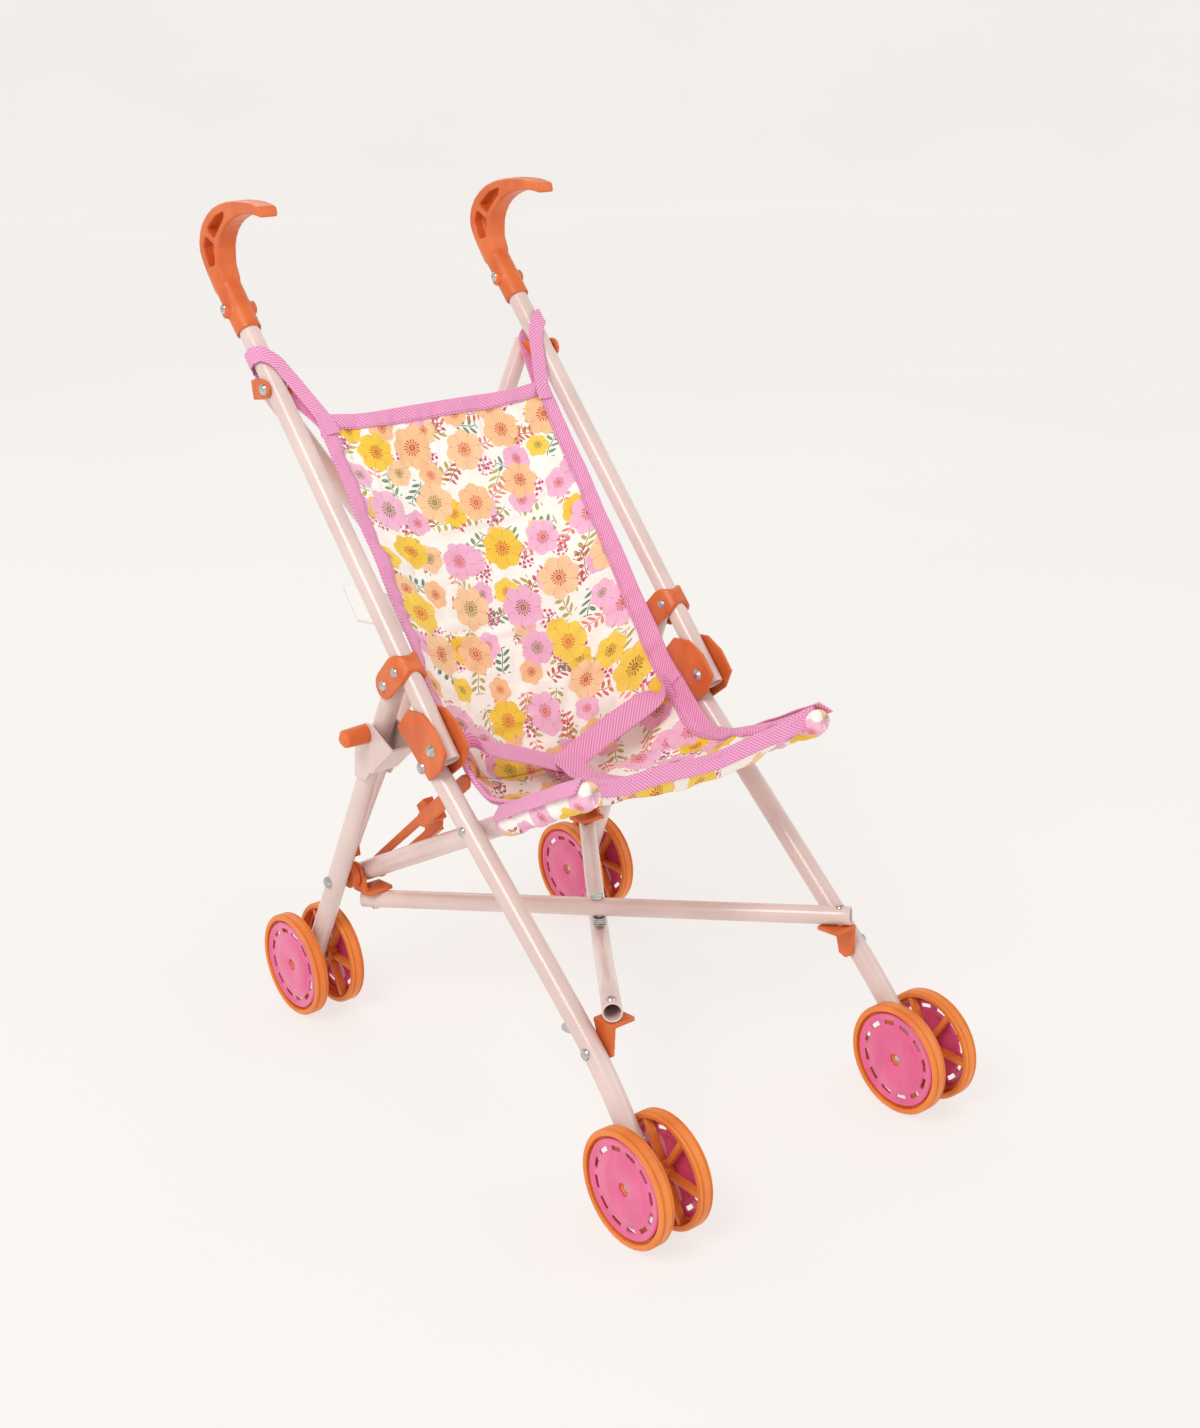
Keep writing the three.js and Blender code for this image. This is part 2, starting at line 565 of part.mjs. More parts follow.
// Seat surface: rows run down the back and forward along the base, columns run across
function sheet(rows, thickness) {
  const grid = rows.map(({ edge, middle, half }) => {
    const line = [];
    for (let c = 0; c <= SEAT_COLUMNS; c += 1) {
      const s = (2 * c) / SEAT_COLUMNS - 1;
      const k = 1 - s ** 4;
      line.push(at(s * half, sum(edge, sum(middle, edge, -1), k)));
    }
    return line;
  });
  const normals = grid.map((line, r) => line.map((p, c) => {
    const down = new THREE.Vector3().subVectors(grid[Math.min(r + 1, grid.length - 1)][c], grid[Math.max(r - 1, 0)][c]);
    const side = new THREE.Vector3().subVectors(line[Math.min(c + 1, SEAT_COLUMNS)], line[Math.max(c - 1, 0)]);
    return new THREE.Vector3().crossVectors(down, side).normalize();
  }));
  const top = grid.map((line, r) => line.map((p, c) => p.clone().addScaledVector(normals[r][c], thickness / 2)));
  const bottom = grid.map((line, r) => line.map((p, c) => p.clone().addScaledVector(normals[r][c], -thickness / 2)));
  const positions = [];
  const tri = (a, b, c) => positions.push(...a.toArray(), ...b.toArray(), ...c.toArray());
  const quad = (a, b, c, d) => {
    tri(a, b, c);
    tri(a, c, d);
  };
  const last = grid.length - 1;
  for (let r = 0; r < last; r += 1) {
    for (let c = 0; c < SEAT_COLUMNS; c += 1) {
      quad(top[r][c], top[r + 1][c], top[r + 1][c + 1], top[r][c + 1]);
      quad(bottom[r][c], bottom[r][c + 1], bottom[r + 1][c + 1], bottom[r + 1][c]);
    }
    quad(top[r][0], bottom[r][0], bottom[r + 1][0], top[r + 1][0]);
    quad(top[r][SEAT_COLUMNS], top[r + 1][SEAT_COLUMNS], bottom[r + 1][SEAT_COLUMNS], bottom[r][SEAT_COLUMNS]);
  }
  for (let c = 0; c < SEAT_COLUMNS; c += 1) {
    quad(top[0][c], top[0][c + 1], bottom[0][c + 1], bottom[0][c]);
    quad(top[last][c], bottom[last][c], bottom[last][c + 1], top[last][c + 1]);
  }
  const geometry = new THREE.BufferGeometry();
  geometry.setAttribute('position', new THREE.Float32BufferAttribute(positions, 3));
  return geometry;
}

const BACK_ROWS = [
  { edge: [185, 426], middle: [184, 421], half: 97 },
  { edge: [156, 390.5], middle: [163, 388], half: 97.5 },
  { edge: [115, 341], middle: [131, 334], half: 98 },
  { edge: [74, 291], middle: [103, 279], half: 98 },
  { edge: [40, 249.5], middle: [84, 230], half: 97 },
  { edge: [22, 228.5], middle: [71, 204], half: 93 },
];

const BASE_ROWS = [
  { edge: [16, 222], middle: [62, 193], half: 92 },
  { edge: [4, 206], middle: [42, 188], half: 91 },
  { edge: [-20, 214], middle: [8, 193], half: 92 },
  { edge: [-58, 235], middle: [-44, 213], half: 94 },
  { edge: [-97, 257.5], middle: [-92, 243], half: 95 },
];

function belt() {
  const lift = 4;
  const rows = [[50, 204, 52], [28, 206, 50], [4, 207, 26], [-14, 209, 12], [-34, 216, 12]];
  return sheet(rows.map(([y, z, half]) => ({ edge: [y, z + lift], middle: [y, z + lift - 4], half })), BELT_T);
}

for (const [side, tag] of [[-1, 'right'], [1, 'left']]) {
  const x = side * TRACK_X;
  add(`push_tube_${tag}`, pushTube(side), paint);
  add(`handle_${tag}`, handle(side), orange);
  add(`top_clip_${tag}`, clip(side), orange);
  add(`collar_${tag}`, collar(side), orange);
  add(`rear_leg_${tag}`, rearLeg(side), paint);
  add(`front_leg_${tag}`, frontLeg(side), paint);
  add(`elbow_bracket_${tag}`, elbow(side), orange);
  add(`seat_rail_${tag}`, rail(side), paint);
  add(`corner_bracket_${tag}`, cornerBracket(side), orange);
  add(`front_bracket_${tag}`, frontBracket(side), orange);
  add(`rear_lug_${tag}`, lug(side), orange);
  add(`elbow_rivet_${tag}`, pin(ELBOW, x - TUBE_R - 3, x + TUBE_R + 3), steel);
  const outer = side * (REAR_LEG_X + 3.2);
  add(`rear_rivet_${tag}`, pin(REAR_PIVOT, outer, side * (side < 0 ? STRUT_X[0] - 0.6 : RAIL_X - TUBE_R - 0.6)), steel);
  for (const [place, hubY, legX] of [['front', FRONT_WHEEL_Y, FRONT_LEG_X], ['rear', REAR_WHEEL_Y, REAR_LEG_X]]) {
    const hub = [hubY, WHEEL_R];
    add(`${place}_axle_${tag}`, axle(hub, side * legX), steel);
    for (const [spot, way] of [['outer', 1], ['inner', -1]]) {
      const build = (make) => make(hub, WHEEL_FAR * side * way).translate(side * legX, 0, 0);
      add(`${place}_wheel_${tag}_${spot}`, build(wheel), orange);
      add(`${place}_disc_${tag}_${spot}`, build(disc), pink);
    }
  }
  add(`lower_cross_${tag}`, combine([lowerCross(side)], [boltHole(-40, 20)]), paint);
  add(`rear_cross_${tag}`, rearCross(side), paint);
}

add('cross_spring', spring(), steel);
add('cross_bolt', crossBolt(), steel);
add('cross_nut', crossNut(), steel);
add('lock_strut', strut(), orange);
add('latch', latch(), paint);
add('latch_knob', latchKnob(), orange);
add('seat_back', sheet(BACK_ROWS, FABRIC), print);
add('seat_base', sheet(BASE_ROWS, FABRIC), print);
add('lap_belt', belt(), webbing);

export default part;
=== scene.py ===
import json
import math

import bmesh
import bpy
import numpy as np
from mathutils import Matrix, Vector
from mathutils.bvhtree import BVHTree

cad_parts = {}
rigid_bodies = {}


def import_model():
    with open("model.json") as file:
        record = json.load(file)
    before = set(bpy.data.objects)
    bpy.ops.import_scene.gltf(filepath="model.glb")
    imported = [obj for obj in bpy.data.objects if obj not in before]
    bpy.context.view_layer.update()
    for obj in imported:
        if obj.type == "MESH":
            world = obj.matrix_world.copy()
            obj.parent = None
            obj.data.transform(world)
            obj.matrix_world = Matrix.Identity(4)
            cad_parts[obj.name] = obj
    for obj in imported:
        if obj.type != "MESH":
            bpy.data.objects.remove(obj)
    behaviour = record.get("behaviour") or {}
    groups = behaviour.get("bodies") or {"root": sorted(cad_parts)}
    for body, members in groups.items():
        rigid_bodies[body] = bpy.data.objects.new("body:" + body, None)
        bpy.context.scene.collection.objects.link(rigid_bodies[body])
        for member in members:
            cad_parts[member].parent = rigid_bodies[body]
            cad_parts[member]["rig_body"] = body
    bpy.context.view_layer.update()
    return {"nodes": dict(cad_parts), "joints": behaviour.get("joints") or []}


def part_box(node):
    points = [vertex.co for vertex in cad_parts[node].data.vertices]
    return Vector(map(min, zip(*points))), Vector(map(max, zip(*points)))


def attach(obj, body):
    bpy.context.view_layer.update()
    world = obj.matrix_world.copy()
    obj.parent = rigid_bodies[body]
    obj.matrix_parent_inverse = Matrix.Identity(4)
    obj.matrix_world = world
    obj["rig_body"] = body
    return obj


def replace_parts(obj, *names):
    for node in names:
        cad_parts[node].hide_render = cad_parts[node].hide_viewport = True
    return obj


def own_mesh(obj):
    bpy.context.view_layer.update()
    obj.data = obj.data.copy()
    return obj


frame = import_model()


MM = 0.001
SIDES = {"right": -1, "left": 1}
JOINT = {joint["name"]: joint for joint in frame["joints"]}
NODES = frame["nodes"]
X_AXIS = np.array((1.0, 0.0, 0.0))
Y_AXIS = np.array((0.0, 1.0, 0.0))
Z_AXIS = np.array((0.0, 0.0, 1.0))
ROUND = 48


def place(joint):
    return np.array(JOINT[joint]["pos_m"])


def body_of(node):
    return NODES[node]["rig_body"]


# ---------------------------------------------------------------- meshes

def link(name, mesh, material, body=None):
    made = bpy.data.objects.new(name, mesh)
    bpy.context.scene.collection.objects.link(made)
    if material:
        mesh.materials.clear()
        mesh.materials.append(material)
    if body:
        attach(made, body)
    return made


def slotted(name, mesh, material, body):
    """A piece with its faces turned outward, riding on a body and filling a material slot."""
    made = link(name, outward(mesh), material, body)
    return made


def mesh_from(name, points, faces, uvs=None):
    mesh = bpy.data.meshes.new(name)
    mesh.from_pydata([tuple(map(float, p)) for p in points], [], [tuple(map(int, f)) for f in faces])
    if uvs is not None:
        layer = mesh.uv_layers.new(name="UVMap")
        corner = np.empty(len(mesh.loops), dtype=np.int32)
        mesh.loops.foreach_get("vertex_index", corner)
        layer.data.foreach_set("uv", np.asarray(uvs, np.float32)[corner].ravel())
    mesh.polygons.foreach_set("use_smooth", [True] * len(mesh.polygons))
    mesh.update()
    return mesh


def outward(mesh):
    work = bmesh.new()
    work.from_mesh(mesh)
    bmesh.ops.recalc_face_normals(work, faces=work.faces)
    work.to_mesh(mesh)
    work.free()
    return mesh


def grid_faces(rows, columns, wrap_rows=False, wrap_columns=False):
    """Quads between neighbouring points of a grid."""
    faces = []
    for i in range(rows if wrap_rows else rows - 1):
        for j in range(columns if wrap_columns else columns - 1):
            k, m = (i + 1) % rows, (j + 1) % columns
            faces.append((i * columns + j, i * columns + m, k * columns + m, k * columns + j))
    return faces


def applied(piece):
    """The piece's mesh with its modifiers worked in, and no modifier left."""
    bpy.context.view_layer.update()
    graph = bpy.context.evaluated_depsgraph_get()
    mesh = bpy.data.meshes.new_from_object(piece.evaluated_get(graph))
    piece.modifiers.clear()
    piece.data = mesh
    return piece


def frames_along(path):
    """Tangent and two cross directions at each point of a path, without twist."""
    path = np.asarray(path, float)
    ahead = np.gradient(path, axis=0)
    ahead /= np.linalg.norm(ahead, axis=1)[:, None]
    guide = X_AXIS if abs(ahead[0][0]) < 0.9 else Z_AXIS
    sides = []
    for step in ahead:
        guide = guide - step * (guide @ step)
        guide /= np.linalg.norm(guide)
        sides.append(guide)
    sides = np.array(sides)
    return ahead, sides, np.cross(ahead, sides)


def ring(centre, side, up, radius, count=ROUND):
    turn = np.linspace(0, 2 * np.pi, count, endpoint=False)[:, None]
    return centre + radius * (np.cos(turn) * side + np.sin(turn) * up)


def tube(name, path, radius, wall, material, body):
    """An open tube along a path, with a softly rounded lip at both ends."""
    path = np.asarray(path, float)
    ahead, side, up = frames_along(path)
    half = wall / 2
    turns = np.linspace(0, math.pi, 6)

    def lip(index, way):
        """The half-round edge at one end, from the bore outward at the start and inward at the end."""
        return [ring(path[index] + way * ahead[index] * (half * math.sin(a) - half), side[index], up[index],
                     radius - half + half * math.cos(a)) for a in turns[::way]]

    outer = [ring(p, s, u, radius) for p, s, u in zip(path[1:-1], side[1:-1], up[1:-1])]
    inner = [ring(p, s, u, radius - wall) for p, s, u in zip(path[1:-1], side[1:-1], up[1:-1])]
    rows = lip(0, -1) + outer + lip(-1, 1) + inner[::-1]
    mesh = outward(mesh_from(name, np.concatenate(rows), grid_faces(len(rows), ROUND, True, True)))
    return link(name, mesh, material, body)


def lathe(profile, centre, axis, side, count=ROUND, closed=False):
    """Points and faces of a turned shape; the profile is (radius, distance along the axis)."""
    up = np.cross(axis, side)
    rows = [ring(np.asarray(centre) + np.asarray(axis) * along, side, up, max(radius, 1e-6), count)
            for radius, along in profile]
    points = np.concatenate(rows)
    return points, grid_faces(len(rows), count, closed, True)


class Parts:
    """Small turned and lofted bodies gathered into one piece for each body they ride on."""

    def __init__(self):
        self.points = {}
        self.faces = {}

    def add(self, body, points, faces):
        start = sum(len(p) for p in self.points.setdefault(body, []))
        self.points[body].append(np.asarray(points))
        self.faces.setdefault(body, []).extend(tuple(start + i for i in face) for face in faces)

    def build(self, prefix, material, slot):
        pieces = []
        for body, points in self.points.items():
            name = f"{prefix}_{body}"
            mesh = mesh_from(name, np.concatenate(points), self.faces[body])
            pieces.append(slotted(name, mesh, material, body))
        return pieces


def square_to(axis):
    axis = np.asarray(axis, float)
    guide = Z_AXIS if abs(axis[2]) < 0.9 else Y_AXIS
    side = guide - axis * (guide @ axis)
    return side / np.linalg.norm(side)


def dome(parts, body, seat, out, radius, height):
    """A snap rivet's head: a thin flange and a round dome, standing on seat and facing out."""
    out = np.asarray(out, float) / np.linalg.norm(out)
    flange = 0.16 * height
    profile = [(0.0, -flange), (radius, -flange), (radius, flange * 0.6), (radius * 0.93, flange)]
    for a in np.linspace(0.12, 1, 9):
        angle = a * math.pi / 2
        profile.append((radius * 0.93 * math.cos(angle), flange + (height - flange) * math.sin(angle)))
    parts.add(body, *lathe(profile, np.asarray(seat, float), out, square_to(out), 32))


# ---------------------------------------------------------------- reading the frame

def corners(node):
    mesh = NODES[node].data
    points = np.empty(len(mesh.vertices) * 3)
    mesh.vertices.foreach_get("co", points)
    return points.reshape(-1, 3)


def edges(node):
    mesh = NODES[node].data
    pairs = np.empty(len(mesh.edges) * 2, dtype=np.int32)
    mesh.edges.foreach_get("vertices", pairs)
    return pairs.reshape(-1, 2)


def centreline(node, stations=40):
    """Centres of a long round node's cross-sections from end to end, and its radius."""
    points = corners(node)
    pairs = edges(node)
    mean = points.mean(0)
    axis = np.linalg.svd(points - mean, full_matrices=False)[2][0]
    guide = square_to(axis)
    other = np.cross(axis, guide)
    along = points @ axis
    low, high = along.min(), along.max()
    path, reach = [], []
    for at in np.linspace(low, high, stations + 2)[1:-1]:
        at += 1e-5
        a, b = along[pairs[:, 0]], along[pairs[:, 1]]
        hit = (a - at) * (b - at) < 0
        share = ((at - a[hit]) / (b[hit] - a[hit]))[:, None]
        cut = points[pairs[hit, 0]] * (1 - share) + points[pairs[hit, 1]] * share
        u, w = cut @ guide, cut @ other
        middle = at * axis + guide * (u.min() + u.max()) / 2 + other * (w.min() + w.max()) / 2
        path.append(middle)
        reach.append(np.linalg.norm(cut - middle, axis=1).max())
    path = np.array(path)
    smooth = path.copy()
    for _ in range(3):
        smooth[1:-1] = (smooth[:-2] + smooth[1:-1] * 2 + smooth[2:]) / 4
    path = smooth
    for end, step in ((0, path[1] - path[0]), (-1, path[-2] - path[-1])):
        out = -step / np.linalg.norm(step)
        path = np.insert(path, 0 if end == 0 else len(path),
                         path[end] + out * ((points - path[end]) @ out).max(), axis=0)
    return path, float(np.median(reach))


def moulded(node, voxel, passes, material):
    """A moulding or pressing in the shape of a CAD node, its edges rounded as the tool leaves them."""
    source = NODES[node]
    work = bmesh.new()
    work.from_mesh(source.data)
    bmesh.ops.remove_doubles(work, verts=work.verts, dist=1e-6)
    mesh = bpy.data.meshes.new("shaped_" + node)
    work.to_mesh(mesh)
    work.free()
    piece = link("shaped_" + node, mesh, material)
    remesh = piece.modifiers.new("Remesh", "REMESH")
    remesh.mode = "VOXEL"
    remesh.voxel_size = voxel * MM
    smooth = piece.modifiers.new("Smooth", "SMOOTH")
    smooth.factor = 0.5
    smooth.iterations = passes
    applied(piece)
    piece.data.materials.clear()
    piece.data.materials.append(material)
    piece.data.polygons.foreach_set("use_smooth", [True] * len(piece.data.polygons))
    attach(piece, body_of(node))
    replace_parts(piece, node)
    return piece


# ---------------------------------------------------------------- materials

class Look:
    """One procedural material, built from short node calls."""

    def __init__(self, name, roughness=0.5, metallic=0.0, **sockets):
        self.material = bpy.data.materials.new(name)
        self.material.use_nodes = True
        self.tree = self.material.node_tree
        self.shader = self.tree.nodes["Principled BSDF"]
        self.shader.inputs["Roughness"].default_value = roughness
        self.shader.inputs["Metallic"].default_value = metallic
        for key, value in sockets.items():
            self.shader.inputs[key.replace("_", " ")].default_value = value
        self.bumps = None

    def add(self, kind, inputs=None, **settings):
        made = self.tree.nodes.new("ShaderNode" + kind)
        for key, value in settings.items():
            setattr(made, key, value)
        for key, value in (inputs or {}).items():
            self.put(made.inputs[key], value)
        return made

    def put(self, socket, value):
        if isinstance(value, bpy.types.NodeSocket):
            self.tree.links.new(value, socket)
        else:
            socket.default_value = value

    def math(self, operation, a, b=0.0, c=0.0):
        return self.add("Math", {0: a, 1: b, 2: c}, operation=operation).outputs[0]

    def times(self, a, b):
        return self.math("MULTIPLY", a, b)

    def plus(self, a, b):
        return self.math("ADD", a, b)

    def wave(self, a):
        return self.math("SINE", a)

    def mix(self, factor, a, b):
        made = self.add("Mix", data_type="RGBA")
        for index, value in ((0, factor), (6, a), (7, b)):
            self.put(made.inputs[index], value)
        return made.outputs[2]

    def span(self, value, low, high, start=0.0, end=1.0):
        """Eases from start to end as value goes from low to high."""
        made = self.add("MapRange", {0: value, 1: low, 2: high, 3: start, 4: end},
                        interpolation_type="SMOOTHSTEP")
        return made.outputs[0]

    def where(self):
        return self.add("TexCoord").outputs["Object"]

    def uv(self):
        return self.add("TexCoord").outputs["UV"]

    def scaled(self, vector, by):
        scale = by if isinstance(by, tuple) else (by, by, by)
        return self.add("Mapping", {"Vector": vector, "Scale": scale}).outputs[0]

    def noise(self, vector, scale, detail=3.0, rough=0.5):
        return self.add("TexNoise", {"Vector": vector, "Scale": scale, "Detail": detail,
                                     "Roughness": rough}).outputs["Fac"]

    def bump(self, height, distance, strength=1.0):
        made = self.add("Bump", {"Height": height, "Distance": distance, "Strength": strength})
        if self.bumps:
            self.put(made.inputs["Normal"], self.bumps)
        self.bumps = made.outputs[0]
        self.put(self.shader.inputs["Normal"], self.bumps)

    def colour(self, value):
        self.put(self.shader.inputs["Base Color"], value)

    def roughness(self, value):
        self.put(self.shader.inputs["Roughness"], value)


def linear(red, green, blue):
    def one(value):
        value /= 255
        return value / 12.92 if value <= 0.04045 else ((value + 0.055) / 1.055) ** 2.4
    return (one(red), one(green), one(blue), 1.0)


def paint_look(name, light, dark, roughness):
    """Sprayed enamel on tube: slow drift of tone, fine orange peel, rubbed places a little duller."""
    look = Look(name, roughness, Coat_Weight=0.35, Coat_Roughness=0.12)
    at = look.where()
    drift = look.noise(at, 18, 2)
    look.colour(look.mix(look.span(drift, 0.3, 0.7), dark, light))
    rub = look.noise(at, 95, 5, 0.65)
    look.roughness(look.span(rub, 0.3, 0.75, roughness - 0.02, roughness + 0.05))
    look.bump(look.noise(at, 420, 2), 0.00001, 0.3)
    return look.material


def plastic_look(name, light, dark, roughness, coat=0.0, grain=2600):
    """Injection moulding: fine grain, faint flow marks, scuffs on the surface."""
    look = Look(name, roughness, Coat_Weight=coat, Coat_Roughness=0.08, Specular_IOR_Level=0.45)
    at = look.where()
    flow = look.noise(look.scaled(at, (1, 2.4, 1)), 26, 3)
    base = look.mix(look.span(flow, 0.25, 0.75), dark, light)
    scuff = look.noise(look.scaled(at, (1, 1, 6)), 140, 6, 0.7)
    marks = look.span(scuff, 0.62, 0.8, 0.0, 0.35)
    look.colour(look.mix(marks, base, tuple(min(1.0, c * 1.25 + 0.02) for c in light[:3]) + (1.0,)))
    look.roughness(look.span(scuff, 0.35, 0.8, roughness - 0.04, roughness + 0.16))
    look.bump(look.noise(at, grain, 2), 0.00004, 0.3)
    look.bump(scuff, 0.00005, 0.15)
    return look.material


def steel_look(name):
    """Bright plated steel with fine brushing and a few dull spots."""
    look = Look(name, 0.16, 1.0)
    at = look.where()
    spots = look.noise(at, 320, 4, 0.6)
    look.colour(look.mix(look.span(spots, 0.35, 0.7), linear(176, 174, 172), linear(214, 212, 209)))
    look.roughness(look.span(spots, 0.3, 0.75, 0.12, 0.3))
    look.bump(look.noise(look.scaled(at, (1, 1, 5)), 1500, 2), 0.00002, 0.25)
    return look.material


PAINT = paint_look("tube_paint", linear(226, 204, 198), linear(216, 192, 186), 0.24)
ORANGE = plastic_look("orange_plastic", linear(224, 114, 54), linear(206, 94, 40), 0.36)
TYRE = plastic_look("tyre_plastic", linear(238, 138, 58), linear(226, 120, 46), 0.4)
PINK = plastic_look("disc_pink", linear(232, 98, 150), linear(220, 82, 134), 0.2, 0.5, 900)
STEEL = steel_look("bright_steel")

# ---------------------------------------------------------------- camera, light and backdrop

AZIMUTH = math.radians(-38.70)
ELEVATION = math.radians(21.39)
ROLL = math.radians(-0.207)


def camera():
    data = bpy.data.cameras.new("camera")
    data.sensor_fit = "HORIZONTAL"
    data.sensor_width = 36.0
    data.lens = 58.2345
    data.shift_y = 0.00873
    data.clip_end = 60.0
    made = bpy.data.objects.new("camera", data)
    bpy.context.scene.collection.objects.link(made)
    back = Vector((math.sin(AZIMUTH) * math.cos(ELEVATION), -math.cos(AZIMUTH) * math.cos(ELEVATION),
                   math.sin(ELEVATION)))
    right = Vector((math.cos(AZIMUTH), math.sin(AZIMUTH), 0))
    up = back.cross(right)
    rolled = right * math.cos(ROLL) + up * math.sin(ROLL)
    tipped = up * math.cos(ROLL) - right * math.sin(ROLL)
    turn = Matrix((rolled, tipped, back)).transposed()
    made.matrix_world = Matrix.Translation((-0.7348, -0.94625, 0.6983)) @ turn.to_4x4()
    bpy.context.scene.camera = made


def backdrop():
    """A pale round studio: flat under the object, curving up to a wall all round it."""
    flat, bend, wall = 5.0, 2.0, 5.0
    profile = [(r, 0.0) for r in np.linspace(0.01, flat, 20)]
    profile += [(flat + bend * math.sin(a), bend - bend * math.cos(a))
                for a in np.linspace(0.05, math.pi / 2, 24)]
    profile += [(flat + bend, bend + h) for h in np.linspace(0.2, wall, 8)]
    points, faces = lathe(profile, np.zeros(3), np.array((0.0, 0.0, 1.0)), np.array((1.0, 0.0, 0.0)), 128)
    look = Look("paper", 0.9, Specular_IOR_Level=0.1)
    drift = look.span(look.noise(look.where(), 1.5, 2), 0.3, 0.7)
    look.colour(look.mix(drift, (0.21, 0.206, 0.2, 1), (0.225, 0.22, 0.214, 1)))
    look.put(look.shader.inputs["Emission Color"], linear(245, 241, 238))
    look.put(look.shader.inputs["Emission Strength"], 0.79)
    link("backdrop", mesh_from("backdrop", points, faces), look.material)


def light(name, at, aim, size, power, tint=(1, 1, 1)):
    data = bpy.data.lights.new(name, "AREA")
    data.shape = "DISK"
    data.size = size
    data.energy = power
    data.color = tint
    made = bpy.data.objects.new(name, data)
    bpy.context.scene.collection.objects.link(made)
    made.location = at
    made.rotation_euler = (Vector(aim) - Vector(at)).to_track_quat("-Z", "Y").to_euler()


def studio():
    world = bpy.data.worlds.new("studio")
    world.use_nodes = True
    world.node_tree.nodes["Background"].inputs[0].default_value = (1.0, 0.99, 0.975, 1.0)
    world.node_tree.nodes["Background"].inputs[1].default_value = 0.5
    bpy.context.scene.world = world
    light("key", (-1.3, -0.5, 1.7), (0, 0, 0.25), 0.9, 15.5, (1.0, 0.985, 0.96))
    light("fill", (1.2, -1.5, 1.3), (0, 0, 0.25), 1.6, 5.5)
    light("rim", (0.3, 1.6, 1.5), (0, 0, 0.3), 1.0, 5.0)
    bpy.context.scene.view_settings.view_transform = "Standard"


camera()
backdrop()
studio()

# ---------------------------------------------------------------- frame tubes

PATH = {}
RADIUS = {}
WALL = 1.1 * MM


def tubes():
    for side in SIDES:
        for kind in ("push_tube", "rear_leg", "front_leg", "seat_rail", "lower_cross", "rear_cross"):
            node = f"{kind}_{side}"
            PATH[node], RADIUS[node] = centreline(node)
            made = tube("enamel_" + node, PATH[node], RADIUS[node], WALL, PAINT, body_of(node))
            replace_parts(made, node)


# ---------------------------------------------------------------- wheels

WHEEL_R = 37 * MM
RIM_IN = 33 * MM
HUB_R = 6 * MM
BORE = 2.3 * MM
SPOKE_WIDE = 3.4 * MM
CAP_LIFT = 0.5 * MM
SLOTS = 12
SLOT_INNER = 24.05 * MM
SLOT_OPEN = (3, 14)
CAP_SHEET = 1.1 * MM
# the cap's section from hub hole to rim, as (radius, height) in mm
CAP_SECTION = ((3.9, -0.9), (4.1, -0.2), (4.6, 0.1), (6.0, 0.35), (10, 0.85), (15, 0.95), (18.6, 0.7),
               (20.2, 0.3), (21.0, -0.05), (21.9, -0.2), (24.0, -0.2), (24.1, -0.25), (26.9, -0.25),
               (27.0, -0.2), (28.3, -0.2), (28.9, 0.15), (29.6, 0.45), (30.5, 0.5), (31.1, 0.25),
               (31.5, -0.3))


def rim_profile(width):
    """The tyre's closed section: round shoulders and two fine grooves near each edge."""
    half = width / 2
    outline = [(RIM_IN, -half + 0.5 * MM), (RIM_IN + 0.4 * MM, -half), (WHEEL_R - 1.6 * MM, -half)]
    for a in np.linspace(0.15, 1, 6):
        turn = a * math.pi / 2
        outline.append((WHEEL_R - 1.6 * MM + 1.3 * MM * math.sin(turn),
                        -half + 1.1 * MM * (1 - math.cos(turn))))
    for at in (-3.25, -2.45, 2.45, 3.25):
        for shift, drop in ((-0.28, 0.0), (-0.16, 0.42), (0.0, 0.55), (0.16, 0.42), (0.28, 0.0)):
            outline.append((WHEEL_R - drop * MM, (at + shift) * MM))
        if at == -2.45:
            outline += [(WHEEL_R + 0.0 * MM, x * MM) for x in (-1.6, 0.0, 1.6)]
    for a in np.linspace(1, 0.15, 6):
        turn = a * math.pi / 2
        outline.append((WHEEL_R - 1.6 * MM + 1.3 * MM * math.sin(turn),
                        half - 1.1 * MM * (1 - math.cos(turn))))
    outline += [(WHEEL_R - 1.6 * MM, half), (RIM_IN + 0.4 * MM, half), (RIM_IN, half - 0.5 * MM)]
    return outline


def spoke_block(centre, out, turn, width, low, high, near, far):
    """One spoke with chamfered long edges, as points and faces."""
    u = np.array((0.0, math.cos(turn), math.sin(turn)))
    v = np.array((0.0, -math.sin(turn), math.cos(turn)))
    chamfer = 0.5 * MM
    half = width / 2
    section = [(-half + chamfer, low), (half - chamfer, low), (half, low + chamfer), (half, high - chamfer),
               (half - chamfer, high), (-half + chamfer, high), (-half, high - chamfer),
               (-half, low + chamfer)]
    rows = [[centre + u * reach + v * across + np.array((out * along, 0, 0)) for across, along in section]
            for reach in np.linspace(near, far, 4)]
    faces = grid_faces(4, 8, False, True)
    faces += [tuple(range(8))[::-1], tuple(range(24, 32))]
    return np.concatenate(rows), faces


